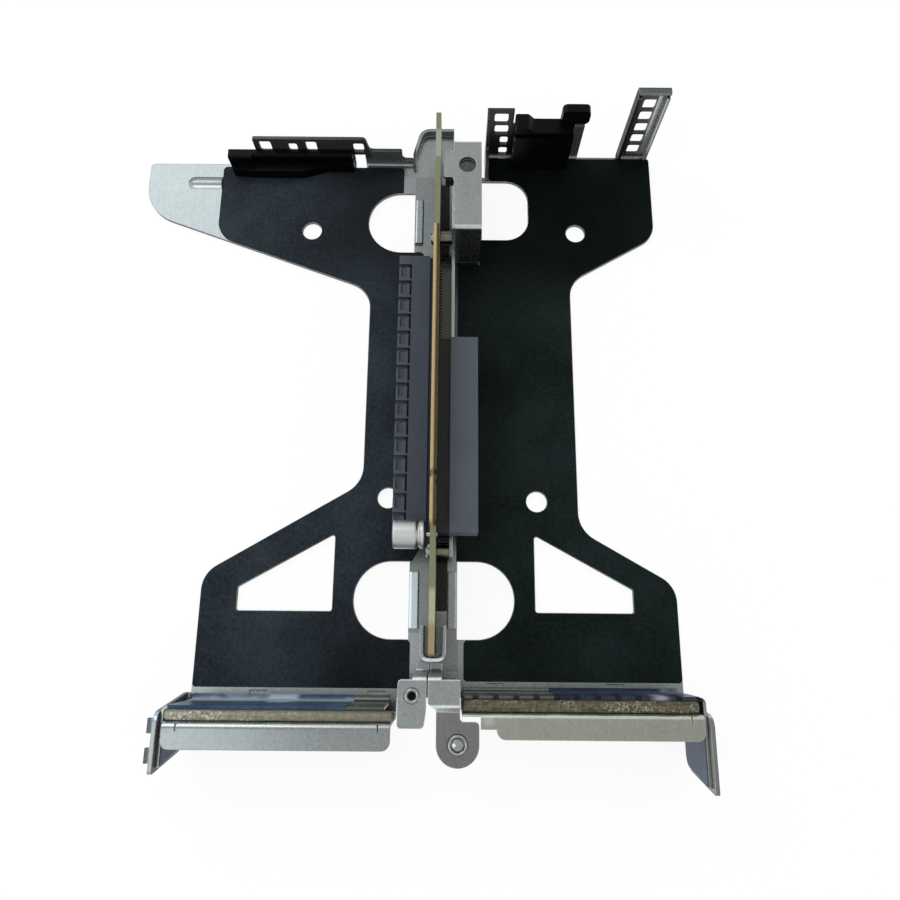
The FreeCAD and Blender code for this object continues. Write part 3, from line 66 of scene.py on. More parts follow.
class Sock:
    """A shader value that takes part in Python expressions."""

    def __init__(self, shade: "Shade", socket: bpy.types.NodeSocket) -> None:
        """Keeps the tree the value belongs to and its output socket."""
        self.shade = shade
        self.socket = socket

    def _math(self, operation: str, first: Any, second: Any = 0.0) -> "Sock":
        """Adds one Math node and gives its result."""
        return self.shade.node("ShaderNodeMath", {"operation": operation}, {0: first, 1: second})

    def __add__(self, other: Any) -> "Sock":
        """Sum."""
        return self._math("ADD", self, other)

    __radd__ = __add__

    def __sub__(self, other: Any) -> "Sock":
        """Difference."""
        return self._math("SUBTRACT", self, other)

    def __rsub__(self, other: Any) -> "Sock":
        """Difference with the number first."""
        return self._math("SUBTRACT", other, self)

    def __mul__(self, other: Any) -> "Sock":
        """Product."""
        return self._math("MULTIPLY", self, other)

    __rmul__ = __mul__

    def __gt__(self, other: Any) -> "Sock":
        """1 where the value is above the other, else 0."""
        return self._math("GREATER_THAN", self, other)

    def __lt__(self, other: Any) -> "Sock":
        """1 where the value is below the other, else 0."""
        return self._math("LESS_THAN", self, other)

    def __abs__(self) -> "Sock":
        """Size without sign."""
        return self._math("ABSOLUTE", self)

    def sine(self) -> "Sock":
        """Sine of the value in radians."""
        return self._math("SINE", self)

    def high(self, other: Any) -> "Sock":
        """The larger of the two."""
        return self._math("MAXIMUM", self, other)


class Shade:
    """A node tree under construction: a material, or the world."""

    def __init__(self, name: str, world: bool = False) -> None:
        """Starts an empty tree.

        Args:
            name: the material's or the world's name.
            world: True for a world, False for a material.
        """
        self.owner = bpy.data.worlds.new(name) if world else bpy.data.materials.new(name)
        self.owner.use_nodes = True
        self.tree = self.owner.node_tree
        self.tree.nodes.clear()

    def node(self, kind: str, settings: Optional[dict] = None, sockets: Optional[dict] = None,
             out: Union[int, str] = 0) -> Sock:
        """Adds a node.

        Args:
            kind: the node's type.
            settings: properties set first; "stops" gives a ramp's (place, colour) pairs.
            sockets: values or links by input name or number.
            out: the output that the result stands for.

        Returns:
            The chosen output.
        """
        made = self.tree.nodes.new(kind)
        for key, value in (settings or {}).items():
            if key == "stops":
                ramp = made.color_ramp.elements
                while len(ramp) < len(value):
                    ramp.new(0.5)
                for element, (place, colour) in zip(ramp, value):
                    element.position = place
                    element.color = (*colour, 1.0)
            else:
                setattr(made, key, value)
        for key, value in (sockets or {}).items():
            target = made.inputs[key]
            if isinstance(value, Sock):
                self.tree.links.new(value.socket, target)
            elif isinstance(value, tuple) and target.type == "RGBA":
                target.default_value = (*value, 1.0)
            else:
                target.default_value = value
        return Sock(self, made.outputs[out] if made.outputs else None)

    def place(self, scale: Point = (1.0, 1.0, 1.0), turn: Point = (0.0, 0.0, 0.0)) -> Sock:
        """Object coordinates, stretched and turned by a Mapping node."""
        point = self.node("ShaderNodeTexCoord", out="Object")
        return self.node("ShaderNodeMapping", {}, {"Vector": point, "Scale": scale, "Rotation": turn})

    def axis(self, axis: Axis) -> Sock:
        """One object coordinate in metres."""
        point = self.node("ShaderNodeTexCoord", out="Object")
        return self.node("ShaderNodeSeparateXYZ", {}, {0: point}, out=axis.value)

    def reach(self, centre: Pair) -> Sock:
        """Distance in metres from an upright axis through a point of the plan."""
        point = self.node("ShaderNodeTexCoord", out="Object")
        shift = (-centre[0], -centre[1], 0.0)
        flat = self.node("ShaderNodeMapping", {}, {"Vector": point, "Location": shift,
                                                   "Scale": (1.0, 1.0, 0.0)})
        return self.node("ShaderNodeVectorMath", {"operation": "LENGTH"}, {0: flat}, out="Value")

    def facing(self, axis: Axis) -> Sock:
        """One component of the surface normal."""
        normal = self.node("ShaderNodeNewGeometry", out="Normal")
        return self.node("ShaderNodeSeparateXYZ", {}, {0: normal}, out=axis.value)

    def noise(self, scale: float, detail: float = 3.0, stretch: Point = (1.0, 1.0, 1.0),
              rough: float = 0.5, turn: Point = (0.0, 0.0, 0.0)) -> Sock:
        """Smooth noise about 0.5 with the given grains per metre."""
        return self.node("ShaderNodeTexNoise", {}, {"Vector": self.place(stretch, turn), "Scale": scale,
                                                    "Detail": detail, "Roughness": rough})

    def cells(self, scale: float) -> Sock:
        """A flat value from 0 to 1 for each random cell."""
        colour = self.node("ShaderNodeTexVoronoi", {}, {"Vector": self.place(), "Scale": scale}, out="Color")
        return self.node("ShaderNodeSeparateColor", {}, {0: colour})

    def ramp(self, value: Sock, stops: Sequence[tuple[float, Colour]]) -> Sock:
        """A colour read from stops along the value."""
        return self.node("ShaderNodeValToRGB", {"stops": stops}, {0: value})

    def step(self, value: Sock, low: float, high: float) -> Sock:
        """0 below low, 1 above high, and a smooth rise between them."""
        return self.node("ShaderNodeMapRange", {"interpolation_type": "SMOOTHSTEP"},
                         {0: value, 1: low, 2: high})

    def mix(self, share: Any, first: Any, second: Any) -> Sock:
        """First colour where share is 0, second where it is 1."""
        return self.node("ShaderNodeMix", {"data_type": "RGBA"}, {0: share, 6: first, 7: second}, out=2)

    def rounded(self, radius: float) -> Sock:
        """The normal as it would be with sharp edges rounded to the radius in metres."""
        return self.node("ShaderNodeBevel", {"samples": 4}, {"Radius": radius})

    def bump(self, height: Sock, strength: float, depth: float, over: Optional[Sock] = None) -> Sock:
        """A normal tilted by a height map.

        Args:
            height: the map.
            strength: from 0 to 1.
            depth: the map's height in metres.
            over: the normal that is tilted, by default the surface's own.

        Returns:
            The normal.
        """
        sockets = {"Height": height, "Strength": strength, "Distance": depth}
        if over:
            sockets["Normal"] = over
        return self.node("ShaderNodeBump", {}, sockets, out="Normal")

    def patched(self, colour: Sock, tone: Sock, patches: Sequence["Mark"]) -> Sock:
        """A colour with each patch's own tones laid over it."""
        for patch in patches:
            colour = self.mix(patch.share(self), colour, self.mix(tone, patch.deep, patch.pale))
        return colour

    def surface(self, **sockets: Any) -> bpy.types.Material:
        """Ends a material with one Principled shader.

        Args:
            sockets: the shader's inputs, with underscores for spaces.

        Returns:
            The finished material.
        """
        named = {key.replace("_", " "): value for key, value in sockets.items()}
        shader = self.node("ShaderNodeBsdfPrincipled", {}, named)
        self.node("ShaderNodeOutputMaterial", {}, {"Surface": shader})
        return self.owner


@dataclass(frozen=True)
class Patch:
    """A box of the frame, in millimetres, in which a surface has its own tones."""

    low: Point
    high: Point
    deep: Colour
    pale: Colour
    soft: float = 0.25

    def share(self, s: Shade) -> Sock:
        """1 inside the box, 0 outside, with a soft border."""
        inside = None
        for axis, a, b in zip(Axis, self.low, self.high):
            at = s.axis(axis)
            part = s.step(at, (a - self.soft) * MM, (a + self.soft) * MM) * (
                1 - s.step(at, (b - self.soft) * MM, (b + self.soft) * MM))
            inside = part if inside is None else inside * part
        return inside


@dataclass(frozen=True)
class Dashes:
    """A row of short upright marks at an even pitch along X, in millimetres, above a height."""

    deep: Colour
    pale: Colour
    first: float = 16.52
    pitch: float = 5.17
    above: float = 12.5
    fade: float = 0.5

    def share(self, s: Shade) -> Sock:
        """1 on the marks of the positive side, 0 between them."""
        across, height = s.axis(Axis.X), s.axis(Axis.Z)
        turns = 2.0 * math.pi / (self.pitch * MM)
        beat = ((across - (self.first - self.pitch / 4.0) * MM) * turns).sine()
        upper = s.step(height, (self.above - self.fade) * MM, (self.above + self.fade) * MM)
        return s.step(beat, 0.40, 0.70) * upper * (across > 0.0)


Mark = Union[Patch, Dashes]


@dataclass(frozen=True)
class SheetSteel:
    """Galvanised sheet: cold grey zinc with a fine frost, rolling streaks and handling smudges; upright
    faces are darkened as painted shade, and bends and edges are brightened as a painted highlight.
    """

    name: str = "galvanised_steel"
    dull: Colour = (0.128, 0.139, 0.137)
    bright: Colour = (0.268, 0.289, 0.289)
    roughness: float = 0.27
    wall_roughness: float = 0.27
    wall_shade: float = 0.12
    wall_bloom: float = 0.35
    frost_per_m: float = 1400.0
    round_edge: float = 0.35 * MM
    bend_highlight: float = 0.95
    grazing: Colour = (1.0, 1.0, 1.0)
    patches: tuple[Mark, ...] = ()
    painted_top_shade: tuple[Patch, ...] = ()
    shaded_pit: Optional[Point] = None
    pit_fade: float = 0.15 * MM
    relief: float = 0.06 * MM

    def material(self) -> bpy.types.Material:
        """Builds the finish."""
        s = Shade(self.name)
        frost = s.noise(self.frost_per_m, 3.0, rough=0.75)
        spangle = s.cells(self.frost_per_m * 0.8)
        streak = s.noise(900.0, 2.0, (1.0, 0.05, 1.0))
        smudge = s.noise(42.0, 4.0)
        tone = 0.8 * frost + 0.10 * spangle + 0.2 * streak + 0.5 * smudge - 0.30
        upright = 1 - s.step(abs(s.facing(Axis.Z)), 0.35, 0.75)
        rough = self.roughness + (self.wall_roughness - self.roughness) * upright
        rough = rough + 0.12 * (smudge - 0.5) + 0.12 * (frost - 0.5)
        # Where the rounded normal leans between up and sideways, at bends and sheet edges, the colour is
        # scaled up: a painted highlight.
        soft = s.rounded(self.round_edge)
        slope = s.node("ShaderNodeSeparateXYZ", {}, {0: soft}, out=Axis.Z.value)
        bend = s.step(slope, 0.25, 0.55) * (1 - s.step(slope, 0.88, 0.98))
        normal = s.bump(frost + 0.3 * streak, 0.18, self.relief, soft)
        colour = s.patched(s.mix(tone, self.dull, self.bright), tone, self.patches)
        # Upright faces are mixed toward a darker copy of the tones by wall_shade: painted shade for the dark
        # surroundings they mirror.
        painted_shade = s.mix(tone, tuple(v * 0.2 for v in self.dull), tuple(v * 0.34 for v in self.bright))
        colour = s.node("ShaderNodeVectorMath", {"operation": "SCALE"}, {
            0: s.mix(upright * self.wall_shade, colour, painted_shade), "Scale": 1 + self.bend_highlight * bend})
        # Patches laid only on faces that look up: painted shade on top edges and caps, and the hooks' dark
        # tones.
        for patch in self.painted_top_shade:
            colour = s.mix(patch.share(s) * (1 - upright), colour, s.mix(tone, patch.deep, patch.pale))
        # The dimple's floor goes dark: painted shade in the recess.
        if self.shaded_pit:
            x, y, radius = self.shaded_pit
            inside = 1 - s.step(s.reach((x, y)), radius - self.pit_fade, radius + self.pit_fade)
            colour = s.mix(inside, colour, painted_shade)
        return s.surface(Base_Color=colour, Metallic=1 - self.wall_bloom * upright, Roughness=rough,
                         Normal=normal, Specular_Tint=self.grazing)


@dataclass(frozen=True)
class InsulatorFilm:
    """Dark matt polymer film with faint mottling and a fine pebble."""

    name: str
    deep: Colour
    pale: Colour
    patches: tuple[Patch, ...] = ()
    roughness: float = 0.5
    gloss: float = 0.05
    relief: float = 0.06 * MM

    def material(self) -> bpy.types.Material:
        """Builds the finish."""
        s = Shade(self.name)
        mottle = s.noise(26.0, 5.0, rough=0.6)
        pebble = s.noise(900.0, 3.0, rough=0.7)
        scuff = s.step(s.noise(300.0, 3.0, (1.0, 0.12, 1.0), turn=(0.0, 0.0, 0.5)), 0.62, 0.80)
        tone = s.step(mottle, 0.30, 0.70) * 0.8 + pebble * 1.5 + scuff * 0.15 - 0.65
        rough = self.roughness + 0.14 * (mottle - 0.5) + 0.10 * (pebble - 0.5)
        colour = s.patched(s.mix(tone, self.deep, self.pale), tone, self.patches)
        return s.surface(Base_Color=colour, Roughness=rough, Specular_IOR_Level=self.gloss,
                         Normal=s.bump(pebble, 0.16, self.relief))


@dataclass(frozen=True)
class ProtectiveFilm:
    """Thin blue film over steel: navy where it clings, paler where it lies slack, and a painted glint in
    long pale streaks along its curved foot and on its crinkles.
    """

    name: str
    cling: Colour
    body: Colour
    loose_and_glint: Colour
    crinkle: Pair
    glint: float
    patches: tuple[Mark, ...] = ()
    crinkle_top: Pair = (9.0 * MM, 12.0 * MM)
    glint_z: float = 4.6 * MM
    glint_half: float = 3.0 * MM
    relief: float = 0.4 * MM

    def material(self) -> bpy.types.Material:
        """Builds the finish."""
        s = Shade(self.name)
        across, height = s.axis(Axis.X), s.axis(Axis.Z)
        drift = s.noise(46.0, 2.0, (1.0, 1.0, 0.6), turn=(0.0, 0.3, 0.0))
        streak = s.noise(240.0, 3.0, (0.16, 1.0, 1.4), turn=(0.0, 0.04, 0.0))
        crease = s.noise(620.0, 3.0, (0.7, 1.0, 1.0), turn=(0.0, -0.5, 0.0))
        # A band at a set height, where the film curves near its foot, and the crinkles are pushed toward the
        # palest tone: a painted glint.
        low = 1 - s.step(abs(height - self.glint_z), 0.3 * self.glint_half, self.glint_half)
        middle, half = self.crinkle
        crinkle_glint = 1 - s.step(abs(across - middle), 0.4 * half, half)
        crinkle_glint = crinkle_glint * (1 - s.step(height, *self.crinkle_top))
        tone = 0.36 * drift + 0.40 * streak + 0.20 * crease
        tone = tone + self.glint * low * (0.3 + drift) + 0.35 * crinkle_glint * (0.2 + crease)
        colour = s.ramp(tone, ((0.40, self.cling), (0.54, self.body), (0.74, self.loose_and_glint)))
        colour = s.patched(colour, crease, self.patches)
        return s.surface(Base_Color=colour, Metallic=0.1, Roughness=0.30 + 0.12 * crease,
                         Specular_IOR_Level=0.1, Coat_Weight=0.06 * drift, Coat_Roughness=0.15,
                         Normal=s.bump(tone, 0.35, self.relief))


@dataclass(frozen=True)
class SlotPlastic:
    """Slate moulding compound of a card slot: satin, glass filled, a little paler where it was handled."""

    name: str = "slot_plastic"
    deep: Colour = (0.038, 0.046, 0.064)
    pale: Colour = (0.066, 0.078, 0.104)
    roughness: float = 0.50
    patches: tuple[Patch, ...] = ()
    relief: float = 0.05 * MM

    def material(self) -> bpy.types.Material:
        """Builds the finish."""
        s = Shade(self.name)
        cloud = s.noise(90.0, 4.0)
        fibre = s.noise(2200.0, 2.0, (1.0, 0.25, 1.0))
        tone = 0.75 * cloud + 0.35 * fibre - 0.05
        colour = s.patched(s.mix(tone, self.deep, self.pale), tone, self.patches)
        return s.surface(Base_Color=colour, Roughness=self.roughness + 0.16 * (fibre - 0.5),
                         Specular_IOR_Level=0.18, Normal=s.bump(fibre, 0.15, self.relief))


@dataclass(frozen=True)
class PlatedMetal:
    """A plated or bare small metal part: brushed a little, with cloudy roughness."""

    name: str
    deep: Colour
    pale: Colour
    roughness: float
    grain_per_m: float = 1800.0
    relief: float = 0.03 * MM

    def material(self) -> bpy.types.Material:
        """Builds the finish."""
        s = Shade(self.name)
        cloud = s.noise(240.0, 3.0)
        grain = s.noise(self.grain_per_m, 2.0)
        tone = 0.7 * cloud + 0.4 * grain - 0.05
        rough = self.roughness + 0.14 * (cloud - 0.5) + 0.08 * (grain - 0.5)
        return s.surface(Base_Color=s.mix(tone, self.deep, self.pale), Metallic=1.0, Roughness=rough,
                         Normal=s.bump(grain, 0.10, self.relief))


@dataclass(frozen=True)
class TurnedMetal:
    """A lathe-turned fitting seen end on: fine rings, with painted shade as a dark ring at its rim and in
    its bore.
    """

    name: str
    deep: Colour
    pale: Colour
    centre: Pair
    rim: float
    bore: float
    bore_fade: float = 0.12 * MM
    groove: Pair = (0.35 * MM, 0.10 * MM)
    rings_per_m: float = 3400.0
    relief: float = 0.04 * MM

    def material(self) -> bpy.types.Material:
        """Builds the finish."""
        s = Shade(self.name)
        away = s.reach(self.centre)
        ring = (away * (self.rings_per_m * 2.0 * math.pi)).sine() * 0.5 + 0.5
        cloud = s.noise(700.0, 3.0)
        tone = 0.45 * ring + 0.6 * cloud - 0.05
        # The bore and a ring just inside the rim go dark: painted shade.
        hollow = 1 - s.step(away, self.bore - self.bore_fade, self.bore + self.bore_fade)
        groove = s.step(away, self.rim - self.groove[0], self.rim - self.groove[1])
        metal = s.mix(tone, self.deep, self.pale)
        dark = s.mix(cloud, tuple(v * 0.03 for v in self.deep), tuple(v * 0.10 for v in self.pale))
        colour = s.mix(hollow.high(groove * 0.7), metal, dark)
        return s.surface(Base_Color=colour, Metallic=1.0, Roughness=0.22 + 0.12 * cloud + 0.25 * hollow,
                         Normal=s.bump(ring, 0.2, self.relief))


@dataclass(frozen=True)
class BoardLaminate:
    """Glass laminate: a dark green mask on both faces and bare layered edges, tan along the tongue and
    toward the rear end, where the cut is fresh; the tongue's edge goes dark toward its right face as painted
    shade."""

    name: str = "board_laminate"
    mask: Colour = (0.018, 0.040, 0.022)
    trace: Colour = (0.030, 0.066, 0.032)
    edge: Colour = (0.195, 0.210, 0.126)
    tan: Colour = (0.505, 0.380, 0.186)
    tongue_shade: Colour = (0.030, 0.018, 0.005)
    olive: Colour = (0.405, 0.410, 0.266)
    rear: Colour = (0.350, 0.254, 0.136)
    layer: Colour = (0.150, 0.110, 0.050)
    tongue_z: float = 24.7 * MM
    rear_y: float = -66.7 * MM
    olive_y: float = -58.1 * MM
    tongue_shade_x: Pair = (-0.35 * MM, 0.35 * MM)
    patches: tuple[Patch, ...] = (
        Patch((-2.0, 70.6, 20.0), (2.0, 80.2, 34.0), (0.27, 0.295, 0.24), (0.37, 0.395, 0.33), 0.4),)
    layers_per_m: float = 8.0 / (1.57 * MM)
    relief: float = 0.08 * MM

    def material(self) -> bpy.types.Material:
        """Builds the finish."""
        s = Shade(self.name)
        face = s.step(abs(s.facing(Axis.X)), 0.6, 0.8)
        runs = s.step(s.noise(520.0, 1.0, (1.0, 0.12, 1.0)), 0.50, 0.54)
        green = s.mix(runs * 0.8, self.mask, self.trace)
        stripe = (s.axis(Axis.X) * (self.layers_per_m * 2.0 * math.pi)).sine() * 0.5 + 0.5
        fray = s.noise(1500.0, 3.0, (1.0, 0.35, 1.0))
        tongue = s.step(s.axis(Axis.Z), self.tongue_z, self.tongue_z + MM)
        rear = 1 - s.step(s.axis(Axis.Y), self.rear_y - MM, self.rear_y + MM)
        pale = 1 - s.step(s.axis(Axis.Y), self.olive_y - MM, self.olive_y + MM)
        bare = s.mix(rear, s.mix(pale, self.edge, self.olive), self.rear)
        # The tongue's top edge goes dark on its right side: painted shade.
        gilt = s.mix(s.step(s.axis(Axis.X), *self.tongue_shade_x), self.tan, self.tongue_shade)
        bare = s.patched(s.mix(tongue, bare, gilt), fray, self.patches)
        sides = s.mix(s.step(stripe * 0.5 + fray * 0.6, 0.45, 1.0) * 0.55, bare, self.layer)
        rough = 0.62 - 0.30 * face + 0.10 * (fray - 0.5)
        normal = s.bump(fray * (1 - face) + runs * face * 0.3, 0.25, self.relief)
        return s.surface(Base_Color=s.mix(face, sides, green), Roughness=rough, Specular_IOR_Level=0.2,
                         Normal=normal)


@dataclass(frozen=True)
class GlossPlastic:
    """Black moulded plastic: low sheen with faint flow marks."""

    name: str = "retainer_plastic"
    deep: Colour = (0.0012, 0.0013, 0.0015)
    pale: Colour = (0.0032, 0.0034, 0.0037)
    roughness: float = 0.38
    relief: float = 0.04 * MM

    def material(self) -> bpy.types.Material:
        """Builds the finish."""
        s = Shade(self.name)
        flow = s.noise(140.0, 3.0, (1.0, 1.0, 0.4))
        grain = s.noise(2400.0, 2.0)
        rough = self.roughness + 0.2 * (flow - 0.5) + 0.1 * (grain - 0.5)
        return s.surface(Base_Color=s.mix(flow, self.deep, self.pale), Roughness=rough,
                         Specular_IOR_Level=0.05, Normal=s.bump(grain, 0.12, self.relief))


@dataclass(frozen=True)
class GasketCloth:
    """Conductive cloth over foam: khaki, with uneven threads across it and pale flecks in lengths, partly
    wear and partly a painted glint of its metal threads.
    """

    name: str
    thread: Colour
    gap: Colour
    worn_and_glint: Colour
    patches: tuple[Patch, ...] = ()
    threads_per_m: float = 1700.0
    relief: float = 0.14 * MM

    def material(self) -> bpy.types.Material:
        """Builds the finish."""
        s = Shade(self.name)
        warp = s.noise(self.threads_per_m, 2.0, (1.0, 0.4, 0.4))
        weft = s.noise(self.threads_per_m, 2.0, (0.3, 1.0, 1.0))
        blotch = s.noise(300.0, 3.0, (0.5, 1.0, 1.0))
        spark = s.step(s.noise(1300.0, 2.0, rough=0.8), 0.50, 0.62)
        weave = 0.5 * warp + 0.5 * weft
        base = s.mix(s.step(weave, 0.34, 0.64), self.gap, self.thread)
        # Pale flecks: partly wear and partly a painted glint of the metal threads.
        colour = s.patched(s.mix(spark * s.step(blotch, 0.46, 0.60), base, self.worn_and_glint), weave, self.patches)
        normal = s.bump(weave + spark * 0.4, 0.4, self.relief)
        return s.surface(Base_Color=colour, Metallic=0.25, Roughness=0.55 + 0.2 * (blotch - 0.5),
                         Specular_IOR_Level=0.25, Normal=normal)


@dataclass(frozen=True)
class SealRubber:
    """Grey-black rubber bung."""

    name: str = "seal_rubber"
    deep: Colour = (0.012, 0.012, 0.012)
    pale: Colour = (0.034, 0.033, 0.031)
    relief: float = 0.05 * MM

    def material(self) -> bpy.types.Material:
        """Builds the finish."""
        s = Shade(self.name)
        bloom = s.noise(700.0, 4.0)
        return s.surface(Base_Color=s.mix(bloom, self.deep, self.pale), Roughness=0.55 + 0.2 * bloom,
                         Specular_IOR_Level=0.3, Normal=s.bump(bloom, 0.2, self.relief))


class Tones(Enum):
    """Deep and pale tone of surfaces that look unlike the rest of their piece; four of them are painted
    shade: in gaps, on floor beside the board, on faces that would mirror dark surroundings, and on film near
    tall parts.
    """

    # Painted shade in narrow gaps beside the board.
    GAP = ((0.010, 0.010, 0.009), (0.030, 0.031, 0.028))
    # Painted shade, tinted olive, on floor beside the board.
    DIM = ((0.042, 0.046, 0.034), (0.095, 0.102, 0.080))
    # Painted shade on faces that would mirror dark surroundings.
    SOOT = ((0.020, 0.023, 0.020), (0.060, 0.066, 0.060))
    CUT_EDGE = ((0.15, 0.16, 0.15), (0.28, 0.29, 0.28))
    EAR_BLUE = ((0.14, 0.17, 0.22), (0.34, 0.39, 0.47))
    HOOK = ((0.008, 0.009, 0.009), (0.100, 0.106, 0.106))
    # Painted shade on floor film near tall parts.
    SHADED_FILM = ((0.0050, 0.0076, 0.0100), (0.0150, 0.0205, 0.0255))

    def over(self, low: Point, high: Point, soft: float = 0.25) -> Patch:
        """A patch with these tones.

        Args:
            low: the box's low corner in millimetres.
            high: its high corner.
            soft: half the width of its border.

        Returns:
            The patch.
        """
        return Patch(low, high, *self.value, soft)


class Finishes:
    """Every finish of the part, built once."""

    left_ear = Tones.EAR_BLUE.over((-72.0, -91.5, 1.5), (-66.3, -84.0, 26.0))
    hook_places = (-92.0, -99.0)

    def __init__(self) -> None:
        """Builds the materials."""
        self.steel = self.rear_steel()
        self.tray = self.tray_steel()
        self.bracket = SheetSteel("bracket_steel", (0.160, 0.173, 0.167), (0.315, 0.340, 0.330),
                                  wall_bloom=0.08, shaded_pit=(8.9 * MM, 69.0 * MM, 2.65 * MM)).material()
        self.cover = self.cover_steel()
        self.left_film = self.left_floor_film()
        self.right_film = self.right_floor_film()
        self.left_blue = ProtectiveFilm("protective_film", (0.020, 0.042, 0.092), (0.058, 0.094, 0.152),
                                        (0.360, 0.420, 0.490), (-41.0 * MM, 5.0 * MM), 0.95).material()
        self.right_blue = self.right_cover_film()
        self.right_slot = self.right_housing()
        self.left_slot = self.left_housing()
        self.gold = PlatedMetal("contact_metal", (0.55, 0.37, 0.13), (0.78, 0.56, 0.24), 0.26).material()
        self.board = BoardLaminate().material()
        self.can = PlatedMetal("can_aluminium", (0.40, 0.41, 0.41), (0.50, 0.51, 0.51), 0.40).material()
        self.rubber = SealRubber().material()
        self.wire = PlatedMetal("tinned_wire", (0.40, 0.41, 0.42), (0.60, 0.61, 0.62), 0.22).material()
        self.fastener = PlatedMetal("fastener_steel", (0.24, 0.25, 0.25), (0.42, 0.43, 0.43),
                                    0.22).material()
        self.bronze = PlatedMetal("spacer_metal", (0.075, 0.070, 0.046), (0.270, 0.255, 0.195),
                                  0.24).material()
        self.polished = PlatedMetal("turned_steel", (0.16, 0.165, 0.165), (0.40, 0.41, 0.41),
                                    0.14).material()
        self.solder = PlatedMetal("solder_tail", (0.060, 0.052, 0.030), (0.150, 0.130, 0.080),
                                  0.40).material()
        self.nut = TurnedMetal("clinch_nut", (0.20, 0.21, 0.21), (0.42, 0.43, 0.43),
                               (-4.7 * MM, -84.3 * MM), 1.9 * MM, 1.05 * MM).material()
        self.sleeve = TurnedMetal("screw_sleeve", (0.18, 0.19, 0.19), (0.40, 0.41, 0.41),
                                  (6.8 * MM, -95.9 * MM), 2.5 * MM, 1.7 * MM).material()
        self.left_cloth = self.left_gasket_cloth()
        self.right_cloth = GasketCloth("gasket_cloth_right", (0.130, 0.120, 0.080), (0.050, 0.045, 0.026),
                                       (0.360, 0.340, 0.265)).material()
        self.black = GlossPlastic().material()

    def rear_steel(self) -> bpy.types.Material:
        """Zinc of the guide, the rear bracket and the nut plate, with a painted highlight on the guide's rim
        and a strong painted highlight on bends.
        """
        thumb_tab = Patch((0.0, -105.0, 18.0), (14.0, -88.0, 23.5),
                          (0.098, 0.099, 0.096), (0.205, 0.207, 0.201))
        # Painted highlight on the guide's rim.
        guide_rim_highlight = Patch((-4.0, -78.5, 11.0), (4.2, -75.5, 14.0), (0.46, 0.51, 0.53), (0.70, 0.75, 0.77))
        return SheetSteel(dull=(0.155, 0.166, 0.166), bright=(0.315, 0.336, 0.336), wall_shade=0.0,
                          bend_highlight=1.85, patches=(thumb_tab, guide_rim_highlight)).material()

    def hooks(self) -> tuple[Patch, ...]:
        """The two hooks of the left ear."""
        return tuple(Tones.HOOK.over((-76.0, y - 2.2, 0.0), (-69.6, y + 2.0, 30.0))
                     for y in self.hook_places)

    def tray_floor(self) -> tuple[Patch, ...]:
        """Hems of the left windows, brightened as a painted highlight, and the strips of floor on that side
        of the board.
        """
        return (
            # Painted highlight on the front hem.
            Patch((-8.0, 54.7, 1.3), (-5.3, 70.7, 3.0), (0.145, 0.160, 0.160), (0.275, 0.300, 0.305)),
            Patch((-8.0, 50.0, 0.4), (0.6, 80.0, 1.28), (0.108, 0.117, 0.115), (0.226, 0.243, 0.240)),
            # Painted highlight on the rear hem.
            Patch((-7.2, -67.8, 1.3), (-4.5, -51.8, 3.0), (0.36, 0.42, 0.46), (0.56, 0.64, 0.69)),
            Patch((-8.0, -80.0, 0.4), (-3.6, -69.0, 1.6), (0.195, 0.210, 0.210), (0.36, 0.385, 0.385)),
            Patch((-3.4, -79.3, 0.4), (4.4, -77.0, 1.6), (0.05, 0.075, 0.080), (0.13, 0.17, 0.175)))

    def tray_walls(self) -> tuple[Patch, ...]:
        """The right flange, the front right post, the front left wall, the ears and the flange's corner:
        painted light on the post's right flange and the right ear, painted shade on the post's left part and
        the front left wall, and a painted highlight on the flange's corner.
        """
        return (
            Patch((7.0, -96.0, 21.0), (69.0, -88.6, 23.0), (0.180, 0.188, 0.162), (0.335, 0.350, 0.300)),
            # Painted light on the post's right flange; painted shade on the post's left part and, darker, on
            # its left rim.
            Patch((66.8, 79.0, 3.0), (68.8, 99.0, 31.5), (0.60, 0.63, 0.61), (0.90, 0.94, 0.91)),
            Patch((58.0, 79.0, 2.2), (66.6, 99.0, 30.4), (0.052, 0.056, 0.052), (0.130, 0.138, 0.130)),
            Patch((58.0, 79.0, 1.2), (61.0, 99.0, 31.0), (0.014, 0.015, 0.014), (0.040, 0.042, 0.040)),
            # Painted shade on the front left wall.
            Patch((-62.0, 80.5, 4.0), (-23.0, 92.0, 18.0), (0.050, 0.055, 0.053), (0.120, 0.130, 0.125)),
            # Painted light on the right ear, over the shade of the gap beside it.
            Patch((69.0, -109.0, 0.5), (75.0, -86.0, 34.0), (0.34, 0.36, 0.34), (0.60, 0.62, 0.59)),
            self.left_ear,
            # Painted highlight on the right flange's corner.
            Patch((13.4, -91.2, 20.0), (15.8, -89.6, 23.5), (0.23, 0.24, 0.23), (0.46, 0.48, 0.46), 0.9))

    def tray_shade(self) -> tuple[Patch, ...]:
        """Painted shade on the front ladder and on the dark strips of floor on the board's right side."""
        return (
            Tones.SOOT.over((13.0, 79.0, 2.2), (24.5, 92.0, 34.0)),
            Patch((0.5, -79.5, 0.4), (7.0, -63.5, 1.6), (0.098, 0.104, 0.098), (0.205, 0.215, 0.205)),
            Tones.GAP.over((0.2, -63.0, 0.5), (3.9, -47.0, 1.4)),
            Tones.GAP.over((0.7, 50.0, 0.5), (3.6, 77.0, 1.6)),
            Tones.DIM.over((0.7, 12.0, 0.5), (10.0, 47.0, 1.6)))

